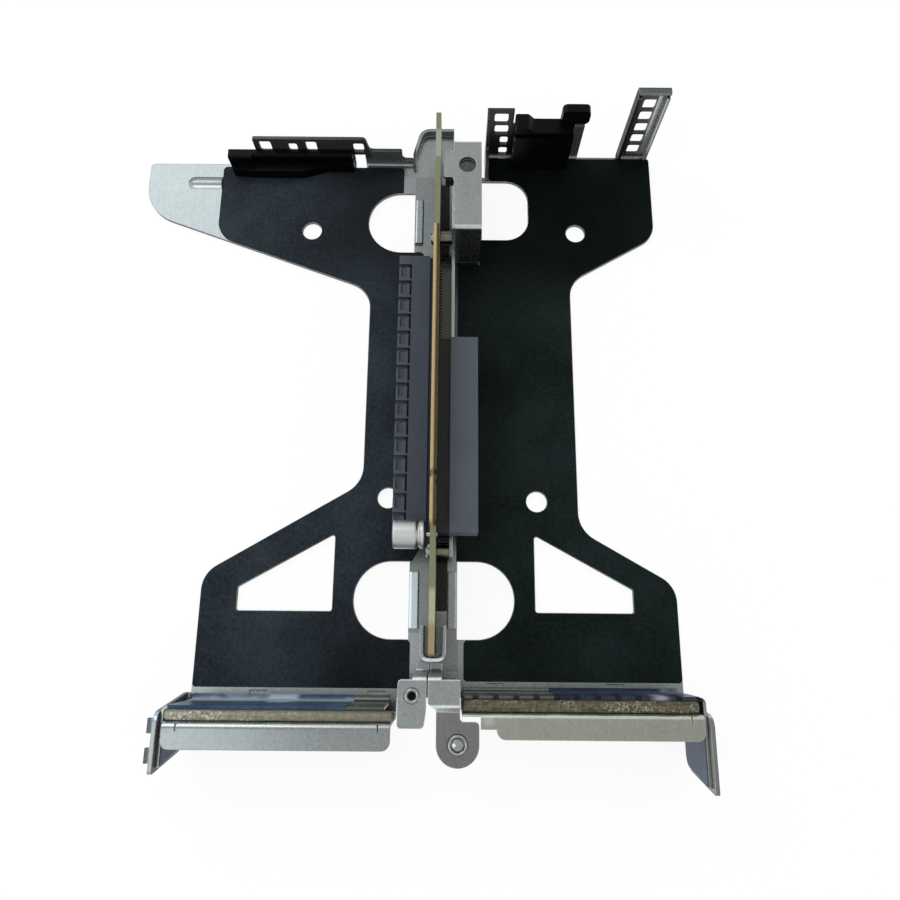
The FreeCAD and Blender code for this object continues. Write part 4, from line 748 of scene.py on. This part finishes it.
    def tray_top_shade(self) -> tuple[Patch, ...]:
        """Painted shade on faces that look up: tops of the front walls, the post's cap, rungs and edge, and
        the right ear.
        """
        return (
            Tones.SOOT.over((12.0, 78.0, 1.1), (58.0, 99.0, 34.0)),
            Tones.SOOT.over((-62.0, 80.5, 2.2), (-8.0, 92.0, 18.0)),
            Patch((-24.0, 79.5, 1.1), (-8.0, 85.0, 2.2), (0.080, 0.086, 0.082), (0.170, 0.180, 0.172)),
            Patch((58.0, 80.0, 30.4), (72.0, 100.0, 34.0), (0.060, 0.070, 0.066), (0.150, 0.166, 0.158)),
            Tones.SOOT.over((58.0, 78.0, 1.1), (66.5, 99.0, 30.4)),
            Patch((66.6, 78.0, 1.1), (72.0, 99.0, 30.4), (0.085, 0.090, 0.086), (0.170, 0.178, 0.172)),
            Patch((69.0, -109.0, 0.5), (75.0, -86.0, 34.0), (0.110, 0.116, 0.112), (0.225, 0.235, 0.228)))

    def tray_steel(self) -> bpy.types.Material:
        """Zinc of the folded tray."""
        hooks = self.hooks()
        patches = (*self.tray_floor(), *self.tray_walls(), *hooks, *self.tray_shade())
        return SheetSteel("tray_steel", grazing=(0.30, 0.31, 0.30), patches=patches,
                          painted_top_shade=(*self.tray_top_shade(), *hooks)).material()

    def cover_steel(self) -> bpy.types.Material:
        """Dark zinc of the slot covers, paler low down and on the tabs along the ears, with painted shade at
        the right cover's openings.
        """
        bare = Patch((-80.0, -95.0, 5.0), (80.0, -80.0, 11.0), (0.20, 0.21, 0.20), (0.34, 0.35, 0.34), 1.2)
        left_tab = Tones.CUT_EDGE.over((-72.0, -110.0, 0.0), (-66.5, -86.0, 30.0))
        right_tab = Tones.CUT_EDGE.over((67.0, -110.0, 0.0), (73.0, -85.5, 30.0))
        # Dark marks at the right cover's openings: painted shade.
        window_shade = Dashes((0.012, 0.013, 0.012), (0.030, 0.032, 0.030))
        return SheetSteel("cover_steel", (0.050, 0.055, 0.052), (0.110, 0.118, 0.112), 0.24,
                          patches=(bare, self.left_ear, left_tab, right_tab, window_shade)).material()

    def left_floor_film(self) -> bpy.types.Material:
        """Film of the tray's left half, darker near the board's two ends as painted shade; its tones are
        paler than the right film's as a painted sheen from the upper left.
        """
        front = Tones.SHADED_FILM.over((-36.0, 45.0, -60.0), (5.0, 100.0, 60.0), 10.0)
        rear = Tones.SHADED_FILM.over((-32.0, -100.0, -60.0), (5.0, -66.0, 60.0), 12.0)
        return InsulatorFilm("insulator_film", (0.0085, 0.0120, 0.0160), (0.0330, 0.0450, 0.0560),
                             (front, rear)).material()

    def right_floor_film(self) -> bpy.types.Material:
        """Film of the tray's right half, in darker tones than the left film's and darker still at the front:
        painted shade.
        """
        front = Patch((0.0, 40.0, -60.0), (90.0, 100.0, 60.0),
                      (0.0008, 0.0026, 0.0022), (0.0040, 0.0080, 0.0068), 14.0)
        return InsulatorFilm("insulator_film_right", (0.0030, 0.0060, 0.0057), (0.0130, 0.0215, 0.0207),
                             (front,), gloss=0.03).material()

    def right_cover_film(self) -> bpy.types.Material:
        """Blue film of the right cover: painted shade over the openings under it, a painted glint on a
        crease and the tab along the ear.
        """
        # Painted shade over the openings under the film.
        window_shade = Dashes((0.003, 0.006, 0.012), (0.010, 0.016, 0.026))
        # Painted glint on a crease near the right end.
        fold_glint = Patch((56.5, -90.0, 13.0), (60.0, -80.0, 21.0), (0.06, 0.08, 0.11), (0.46, 0.50, 0.55), 1.2)
        tab = Patch((58.0, -112.0, 0.0), (72.0, -89.5, 34.0), (0.042, 0.062, 0.104), (0.088, 0.122, 0.186))
        return ProtectiveFilm("protective_film_right", (0.010, 0.018, 0.042), (0.030, 0.044, 0.086),
                              (0.150, 0.175, 0.215), (66.0 * MM, 4.0 * MM), 0.12,
                              (window_shade, fold_glint, tab)).material()

    def right_housing(self) -> bpy.types.Material:
        """Plastic of the right slot, with painted shade on the step beside the board."""
        # Painted shade on the step beside the board.
        step = Patch((0.0, -60.0, 0.0), (4.3, 60.0, 40.0),
                     (0.016, 0.017, 0.016), (0.030, 0.031, 0.030), 0.1)
        return SlotPlastic("slot_plastic_right", (0.058, 0.069, 0.086), (0.096, 0.110, 0.134),
                           patches=(step,)).material()

    def left_housing(self) -> bpy.types.Material:
        """Plastic of the left slot, paler between the pockets, with painted shade in each pocket's inner
        corner.
        """
        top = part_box("left_slot_housing")[1][2] / MM
        ribs = Patch((-12.3, -60.0, top - 0.3), (-8.7, 60.0, top + 1.0),
                     (0.052, 0.058, 0.074), (0.082, 0.088, 0.106), 0.1)
        # Painted shade in each pocket's inner corner.
        corner_shade = Patch((-8.8, -60.0, top - 1.5), (-7.9, 60.0, top - 0.7),
                        (0.003, 0.003, 0.007), (0.009, 0.010, 0.017), 0.1)
        return SlotPlastic("slot_plastic_left", patches=(ribs, corner_shade)).material()

    def left_gasket_cloth(self) -> bpy.types.Material:
        """Cloth of the left strip, darker toward the board: painted shade where the light falls off."""
        lamp_falloff_shade = Patch((-36.0, -100.0, 0.0), (5.0, -80.0, 40.0),
                         (0.080, 0.074, 0.052), (0.260, 0.244, 0.182), 14.0)
        return GasketCloth("gasket_cloth", (0.300, 0.285, 0.220), (0.145, 0.132, 0.092),
                           (0.560, 0.538, 0.455), (lamp_falloff_shade,)).material()


def dress(node: str, material: bpy.types.Material) -> None:
    """Gives a CAD node its finish.

    Args:
        node: the node's name.
        material: the finish.
    """
    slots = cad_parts[node].data.materials
    slots.clear()
    slots.append(material)
    log.info("dressed %s", node)


def grid_faces(rows: int, columns: int, closed: bool = False) -> np.ndarray:
    """Quads of a grid of points numbered row by row.

    Args:
        rows: points along the first parameter.
        columns: points along the second parameter.
        closed: True where the last column joins the first.

    Returns:
        An array of four point numbers a quad.
    """
    i, j = np.meshgrid(np.arange(rows - 1), np.arange(columns if closed else columns - 1), indexing="ij")
    k = (j + 1) % columns
    quads = np.stack([i * columns + j, i * columns + k, (i + 1) * columns + k, (i + 1) * columns + j], -1)
    return quads.reshape(-1, 4)


def blocks(centres: np.ndarray, sizes: np.ndarray) -> Shape:
    """Many square blocks at once: each corner is the centre plus or minus half the size on each axis.

    Args:
        centres: one row of x, y, z for each block.
        sizes: full sizes, one row for each block or one for all.

    Returns:
        Points and quads.
    """
    signs = np.array([(x, y, z) for x in (-1, 1) for y in (-1, 1) for z in (-1, 1)], float)
    half = np.broadcast_to(np.asarray(sizes, float), np.shape(centres)) / 2.0
    points = (np.asarray(centres, float)[:, None, :] + signs[None] * half[:, None, :]).reshape(-1, 3)
    quads = np.array([(0, 1, 3, 2), (4, 6, 7, 5), (0, 4, 5, 1), (2, 3, 7, 6), (0, 2, 6, 4), (1, 5, 7, 3)])
    return points, (np.arange(len(centres))[:, None, None] * 8 + quads[None]).reshape(-1, 4)


def revolve(profile: np.ndarray, centre: Sequence[float], steps: int, axis: Axis = Axis.X) -> Shape:
    """A profile of (place, radius) pairs turned round a frame axis.

    Each ring holds the points (place, c0 + r cos t, c1 + r sin t) for t round the circle, written along the
    axis and the two that follow it in turn.

    Args:
        profile: pairs from the low end to the high end, with radius 0 at closed ends.
        centre: the axis's place on the two other axes, in the same order.
        steps: points round the circle.
        axis: the axis of turning.

    Returns:
        Points and quads.
    """
    t = np.linspace(0.0, 2.0 * math.pi, steps, endpoint=False)
    place, r = profile[:, :1], profile[:, 1:]
    rings = np.stack([np.broadcast_to(place, (len(profile), steps)), centre[0] + r * np.cos(t),
                      centre[1] + r * np.sin(t)], -1)
    return np.roll(rings, axis.value, -1).reshape(-1, 3), grid_faces(len(profile), steps, True)[:, ::-1]


def loft(sections: np.ndarray) -> Shape:
    """A closed tube through sections of equal point counts, its ends drawn together to one point each.

    Args:
        sections: an array of section, point, coordinate.

    Returns:
        Points and quads.
    """
    rows, columns = sections.shape[:2]
    ends = [np.broadcast_to(sections[k].mean(0), (1, columns, 3)) for k in (0, -1)]
    full = np.concatenate([ends[0], sections, ends[1]])
    return full.reshape(-1, 3), grid_faces(rows + 2, columns, True)


def join(*shapes: Shape) -> Shape:
    """Several shapes as one set of points and quads."""
    starts = np.cumsum([0] + [len(points) for points, _ in shapes[:-1]])
    return (np.concatenate([points for points, _ in shapes]),
            np.concatenate([quads + start for (_, quads), start in zip(shapes, starts)]))


def piece(name: str, shape: Shape, material: bpy.types.Material, smooth: bool = True,
          stands_for: Sequence[str] = ()) -> bpy.types.Object:
    """Puts a shape into the scene as a piece of the part.

    Args:
        name: the piece's name.
        shape: points in metres and quads.
        material: its finish.
        smooth: True for a rounded look.
        stands_for: CAD nodes that it replaces.

    Returns:
        The new object.
    """
    points, quads = shape
    mesh = bpy.data.meshes.new(name)
    mesh.from_pydata(points.tolist(), [], quads.tolist())
    mesh.validate()
    merge_doubles(mesh)
    mesh.polygons.foreach_set("use_smooth", [smooth] * len(mesh.polygons))
    mesh.materials.append(material)
    made = bpy.data.objects.new(name, mesh)
    bpy.context.scene.collection.objects.link(made)
    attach(made, "root")
    if stands_for:
        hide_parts(*stands_for)
    log.info("built %s, %d faces", name, len(mesh.polygons))
    return made


def merge_doubles(mesh: bpy.types.Mesh) -> None:
    """Welds points that meet, so that poles and seams are closed, and turns the faces outwards."""
    work = bmesh.new()
    work.from_mesh(mesh)
    bmesh.ops.remove_doubles(work, verts=work.verts, dist=1e-7)
    bmesh.ops.recalc_face_normals(work, faces=work.faces)
    work.to_mesh(mesh)
    work.free()


@dataclass
class Tray:
    """The folded sheet and the brackets of the same steel."""

    nodes: tuple[str, ...] = ("board_guide", "rear_bracket", "nut_plate")
    covers: tuple[str, ...] = ("left_slot_cover", "right_slot_cover")
    slit: Point = (-13.15 * MM, -92.6 * MM, 20.9 * MM)
    slit_fill: Point = (0.7 * MM, 2.0 * MM, 0.1 * MM)

    def build(self, finishes: Finishes) -> None:
        """Gives the sheet parts their zinc and puts a small dark block under the relief slit: painted shade.
        """
        for node in self.nodes:
            dress(node, finishes.steel)
        dress("base_tray", finishes.tray)
        dress("board_bracket", finishes.bracket)
        for node in self.covers:
            dress(node, finishes.cover)
        # A small dark block just under the relief slit: painted shade seen through it.
        slit_shade = blocks(np.array([self.slit]), np.array(self.slit_fill))
        piece("slit_shade_block", slit_shade, finishes.cover, False)


@dataclass
class Films:
    """The dark films on the floor and the blue films left on the covers."""

    floor: str = "{}_insulator_film"
    cover: str = "{}_cover_film"

    def dress(self, finishes: Finishes) -> None:
        """Gives the films their finish."""
        dress(self.floor.format("left"), finishes.left_film)
        dress(self.floor.format("right"), finishes.right_film)
        dress(self.cover.format("left"), finishes.left_blue)
        dress(self.cover.format("right"), finishes.right_blue)


@dataclass
class Board:
    """The circuit board: gold fingers on the tongue and the solder tails of both slots."""

    half: float = 0.785 * MM
    finger_pitch: float = 1.0 * MM
    finger: Point = (0.04 * MM, 0.7 * MM, 4.4 * MM)
    finger_top: float = 31.2 * MM
    tongue: Pair = (-41.7 * MM, 43.5 * MM)
    key: Pair = (-30.05 * MM, 1.9 * MM)
    key_guard: float = 0.8 * MM
    tail: Point = (0.45 * MM, 0.45 * MM, 0.6 * MM)
    rows: tuple[tuple[float, ...], ...] = ((-1.0, -42.0, 44.0, 6.05), (1.0, -41.5, 11.5, 18.0))
    row_gap: float = 2.4 * MM

    def fingers(self) -> Shape:
        """One gold pad per pitch along the tongue on each face, none beside the key."""
        start, stop = self.tongue[0] + self.finger_pitch, self.tongue[1] - self.finger[1]
        y = np.arange(start, stop, self.finger_pitch)
        y = y[np.abs(y - self.key[0]) > self.key[1] / 2.0 + self.key_guard]
        side = np.repeat((-1.0, 1.0), len(y)) * (self.half + self.finger[0] / 2.0)
        z = np.full(2 * len(y), self.finger_top - self.finger[2] / 2.0)
        return blocks(np.stack([side, np.tile(y, 2), z], -1), np.array(self.finger))

    def tails(self) -> Shape:
        """Two rows of short solder tails behind each slot, on the face away from it."""
        shapes = []
        for side, y0, y1, z in self.rows:
            y = np.arange(y0 * MM, y1 * MM, self.finger_pitch)
            x = np.full(2 * len(y), -side * (self.half + self.tail[0] / 2.0))
            height = np.repeat((z * MM - self.row_gap / 2.0, z * MM + self.row_gap / 2.0), len(y))
            shapes.append(blocks(np.stack([x, np.tile(y, 2), height], -1), np.array(self.tail)))
        return join(*shapes)

    def build(self, finishes: Finishes) -> None:
        """Builds the pads and tails and dresses the board."""
        dress("riser_board", finishes.board)
        piece("tongue_fingers", self.fingers(), finishes.gold, False)
        piece("slot_tails", self.tails(), finishes.solder, False)


@dataclass
class Slots:
    """The two card slots with their spring contacts."""

    def dress(self, finishes: Finishes) -> None:
        """Gives the mouldings and the springs their finish."""
        for side in ("left", "right"):
            dress(side + "_slot_contacts", finishes.gold)
        dress("left_slot_housing", finishes.left_slot)
        dress("right_slot_housing", finishes.right_slot)


@dataclass
class Capacitor:
    """A radial capacitor lying across the tray: a drawn can with a crimp groove and a rolled rim."""

    node: str = "capacitor_can"
    corner: float = 0.55 * MM
    groove: float = 1.6 * MM
    groove_deep: float = 0.45 * MM
    groove_wide: float = 0.5 * MM
    blind_ring: float = 0.55
    rim_share: float = 0.6
    turn_points: int = 9
    wall_rings: int = 48
    steps: int = 96

    def can(self) -> Shape:
        """A profile with a rounded blind end, a bell-shaped groove near the seal and a turned-in rim.

        The wall's radius is r minus depth times exp(-((x - groove) / width)^2).
        """
        low, high = (np.array(v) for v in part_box(self.node))
        centre, radius = (low + high)[1:] / 2.0, (high - low)[1] / 2.0
        x0, x1 = low[0], high[0]
        small = self.corner * self.rim_share
        turn = np.linspace(0.0, math.pi / 2.0, self.turn_points)
        blind = np.stack([x0 + self.corner * (1.0 - np.sin(turn)),
                          radius - self.corner + self.corner * np.cos(turn)], -1)[::-1]
        x = np.linspace(x0 + self.corner, x1 - small, self.wall_rings)[1:]
        dip = np.exp(-((x - (x1 - self.groove)) / self.groove_wide) ** 2)
        wall = np.stack([x, radius - self.groove_deep * dip], -1)
        rim = np.stack([x1 - small + small * np.sin(turn), radius - small + small * np.cos(turn)], -1)[1:]
        ends = [np.array([[x0, 0.0], [x0, radius * self.blind_ring]]), np.array([[x1, 0.0]])]
        return revolve(np.concatenate([ends[0], blind, wall, rim, ends[1]]), centre, self.steps)

    def build(self, finishes: Finishes) -> None:
        """Builds the can and dresses the rest."""
        piece("capacitor_shell", self.can(), finishes.can, True, (self.node,))
        dress("capacitor_seal", finishes.rubber)
        dress("capacitor_leads", finishes.wire)


@dataclass
class Gaskets:
    """Cloth-covered foam strips along the rear walls."""

    power: float = 2.8
    around: int = 28
    along: int = 220
    sag: float = 0.25 * MM
    waves: int = 5
    pace: Pair = (120.0, 900.0)
    end_draw: float = 0.35
    fill: float = 0.8
    first_seed: int = 3
    longer: tuple[Pair, Pair] = ((0.9 * MM, 1.7 * MM), (1.1 * MM, 0.0))

    def strip(self, node: str, seed: int, longer: Pair) -> Shape:
        """A strip whose section is a rounded square.

        Each section holds the points c + h sign(cos t) |cos t|^(2/n), and the same with sines, and the
        section draws in by a slow wave along the strip and closes over its last millimetre.

        Args:
            node: the CAD strip that it fills.
            seed: for the wave.
            longer: how far the cloth runs past the CAD strip's left and right end.

        Returns:
            Points and quads.
        """
        low, high = (np.array(v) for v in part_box(node))
        low[0] -= longer[0]
        high[0] += longer[1]
        mid, half = (low + high) / 2.0, (high - low) / 2.0
        t = np.linspace(0.0, 2.0 * math.pi, self.around, endpoint=False)
        c, s = (np.sign(f) * np.abs(f) ** (2.0 / self.power) for f in (np.cos(t), np.sin(t)))
        u = np.linspace(0.0, 1.0, self.along)
        x = low[0] + (high[0] - low[0]) * u
        rng = np.random.default_rng(seed)
        phase, pace = rng.uniform(0.0, 6.3, self.waves), rng.uniform(*self.pace, self.waves)
        wave = np.sin(x[:, None] * pace + phase).mean(1)
        cap = np.clip(np.minimum(x - low[0], high[0] - x) / MM, 0.0, 1.0)
        swell = np.sqrt(1.0 - (1.0 - cap) ** 2) * self.end_draw + (1.0 - self.end_draw)
        depth = half[1] * swell
        height = (half[2] - self.sag * (0.5 + 0.5 * wave)) * swell
        base = mid[2] - (half[2] - height)
        sections = np.stack([np.broadcast_to(x[:, None], (self.along, self.around)),
                             mid[1] + depth[:, None] * c, base[:, None] + height[:, None] * s], -1)
        return loft(sections)

    def build(self, finishes: Finishes) -> None:
        """Builds both strips."""
        cloths = {"left": finishes.left_cloth, "right": finishes.right_cloth}
        for number, (side, cloth) in enumerate(cloths.items()):
            node = side + "_gasket"
            shape = self.strip(node, self.first_seed + number, self.longer[number])
            made = piece(side + "_gasket_strip", shape, cloth, True, (node,))


@dataclass
class Fittings:
    """Screws, sleeve, nut, spacers and card retainers."""

    steel: tuple[str, ...] = ("board_screws", "captive_screw")
    black: tuple[str, ...] = ("left_card_retainer", "right_card_retainer")
    nut: Point = (1.10 * MM, 1.86 * MM, 0.30 * MM)
    sleeve: Point = (1.72 * MM, 2.46 * MM, 0.34 * MM)
    tip: Pair = (1.46 * MM, 0.30 * MM)
    steps: int = 64

    def crown(self, node: str, inner: float, outer: float, rise: float) -> Shape:
        """A rounded ring on a turned fitting's end face: a half ellipse of (radius, height) turned round Z.

        Args:
            node: the CAD fitting.
            inner: radius at the ring's inner foot.
            outer: radius at its outer foot.
            rise: its height over the face.

        Returns:
            Points and quads.
        """
        low, high = (np.array(v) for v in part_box(node))
        t = np.linspace(0.0, math.pi, 17)
        radius = (inner + outer) / 2.0 + (outer - inner) / 2.0 * np.cos(t)
        profile = np.stack([high[2] + rise * np.sin(t), radius], -1)
        closed = np.concatenate([profile, profile[:1]])
        return revolve(closed, (low + high)[:2] / 2.0, self.steps, Axis.Z)

    def dome(self, node: str) -> Shape:
        """The screw's rounded tip: height falls with the square of the radius to a flat foot."""
        low, high = (np.array(v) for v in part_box(node))
        radius = np.linspace(self.tip[0], 0.0, 12)
        profile = np.stack([high[2] + self.tip[1] * (1.0 - (radius / self.tip[0]) ** 2), radius], -1)
        foot = np.array([[high[2], 0.0]])
        return revolve(np.concatenate([foot, profile]), (low + high)[:2] / 2.0, self.steps, Axis.Z)

    def build(self, finishes: Finishes) -> None:
        """Builds the turned crowns and gives the fittings their finish."""
        for node in self.steel:
            dress(node, finishes.fastener)
        dress("board_standoffs", finishes.bronze)
        dress("screw_sleeve", finishes.sleeve)
        dress("clinch_nut", finishes.nut)
        for node in self.black:
            dress(node, finishes.black)
        piece("nut_crown", self.crown("clinch_nut", *self.nut), finishes.polished)
        piece("sleeve_crown", self.crown("screw_sleeve", *self.sleeve), finishes.polished)
        piece("screw_tip", self.dome("captive_screw"), finishes.polished)


@dataclass
class Lamp:
    """One soft square lamp."""

    name: str
    at: Point
    size: float
    watts: float
    tint: Colour = (0.90, 0.965, 1.0)

    def build(self) -> None:
        """Hangs the lamp and turns it to the part."""
        data = bpy.data.lights.new(self.name, "AREA")
        data.shape = "SQUARE"
        data.size = self.size
        data.energy = self.watts
        data.color = self.tint
        made = bpy.data.objects.new(self.name, data)
        place = Matrix.Translation(self.at)
        aim = -place.to_translation()
        made.matrix_world = place @ aim.to_track_quat("-Z", "Y").to_matrix().to_4x4()
        bpy.context.scene.collection.objects.link(made)


@dataclass
class Studio:
    """A white room: pale floor, soft lamps and the camera over the part."""

    ambient: float = 0.80
    white: Colour = (1.0, 1.0, 1.0)
    floor_half: float = 3.0
    floor_z: float = -0.2 * MM
    floor_tone: Colour = (0.86, 0.86, 0.86)
    floor_glow: float = 0.86
    floor_white: float = 1.03
    eye: Point = (4.3 * MM, -70.0 * MM, 212.0 * MM)
    tilt: float = 14.6
    roll: float = 0.4985
    sensor: float = 36.0
    lens: float = 28.68
    nearest: float = 5.0 * MM
    lamps: tuple[Lamp, ...] = (Lamp("key", (-0.46, 0.60, 0.75), 0.55, 2.6),
                               Lamp("rear", (-0.39, -0.22, 0.75), 0.32, 0.75))

    def seen(self, s: Shade) -> Sock:
        """1 for rays from the camera, off metal or through glass, else 0."""
        rays = [s.node("ShaderNodeLightPath", out=name)
                for name in ("Is Camera Ray", "Is Glossy Ray", "Is Transmission Ray")]
        return rays[0].high(rays[1]).high(rays[2])

    def build_world(self) -> None:
        """White where it is seen, softer where it lights."""
        s = Shade("white_room", True)
        strength = self.ambient + (1.0 - self.ambient) * self.seen(s)
        glow = s.node("ShaderNodeBackground", {}, {"Color": self.white, "Strength": strength})
        s.node("ShaderNodeOutputWorld", {}, {"Surface": glow})
        bpy.context.scene.world = s.owner

    def build_floor(self) -> None:
        """A plain pale floor that keeps a faint shadow."""
        s = Shade("floor")
        matt = s.node("ShaderNodeBsdfDiffuse", {}, {"Color": self.floor_tone})
        glow = s.node("ShaderNodeEmission", {}, {"Color": self.white, "Strength": self.floor_white})
        both = s.node("ShaderNodeMixShader", {}, {0: self.seen(s) * self.floor_glow, 1: matt, 2: glow})
        s.node("ShaderNodeOutputMaterial", {}, {"Surface": both})
        f, z = self.floor_half, self.floor_z
        mesh = bpy.data.meshes.new("floor")
        mesh.from_pydata([(-f, -f, z), (f, -f, z), (f, f, z), (-f, f, z)], [], [(0, 1, 2, 3)])
        mesh.materials.append(s.owner)
        made = bpy.data.objects.new("floor", mesh)
        bpy.context.scene.collection.objects.link(made)

    def build_camera(self) -> None:
        """A camera above the part's rear, tilted toward its front end."""
        data = bpy.data.cameras.new("camera")
        data.sensor_width = self.sensor
        data.lens = self.lens
        data.clip_start = self.nearest
        made = bpy.data.objects.new("camera", data)
        tilt = Matrix.Rotation(math.radians(self.tilt), 4, "X")
        roll = Matrix.Rotation(math.radians(self.roll), 4, "Z")
        made.matrix_world = Matrix.Translation(self.eye) @ tilt @ roll
        bpy.context.scene.collection.objects.link(made)
        bpy.context.scene.camera = made

    def build(self) -> None:
        """Builds the room."""
        bpy.context.scene.view_settings.view_transform = "Standard"
        self.build_world()
        self.build_floor()
        self.build_camera()
        for lamp in self.lamps:
            lamp.build()


def main() -> None:
    """Builds and dresses the part, then the room."""
    logging.basicConfig(level=logging.INFO, format="%(message)s")
    finishes = Finishes()
    Tray().build(finishes)
    Films().dress(finishes)
    Board().build(finishes)
    Slots().dress(finishes)
    Capacitor().build(finishes)
    Gaskets().build(finishes)
    Fittings().build(finishes)
    Studio().build()


if __name__ == "__main__":
    main()
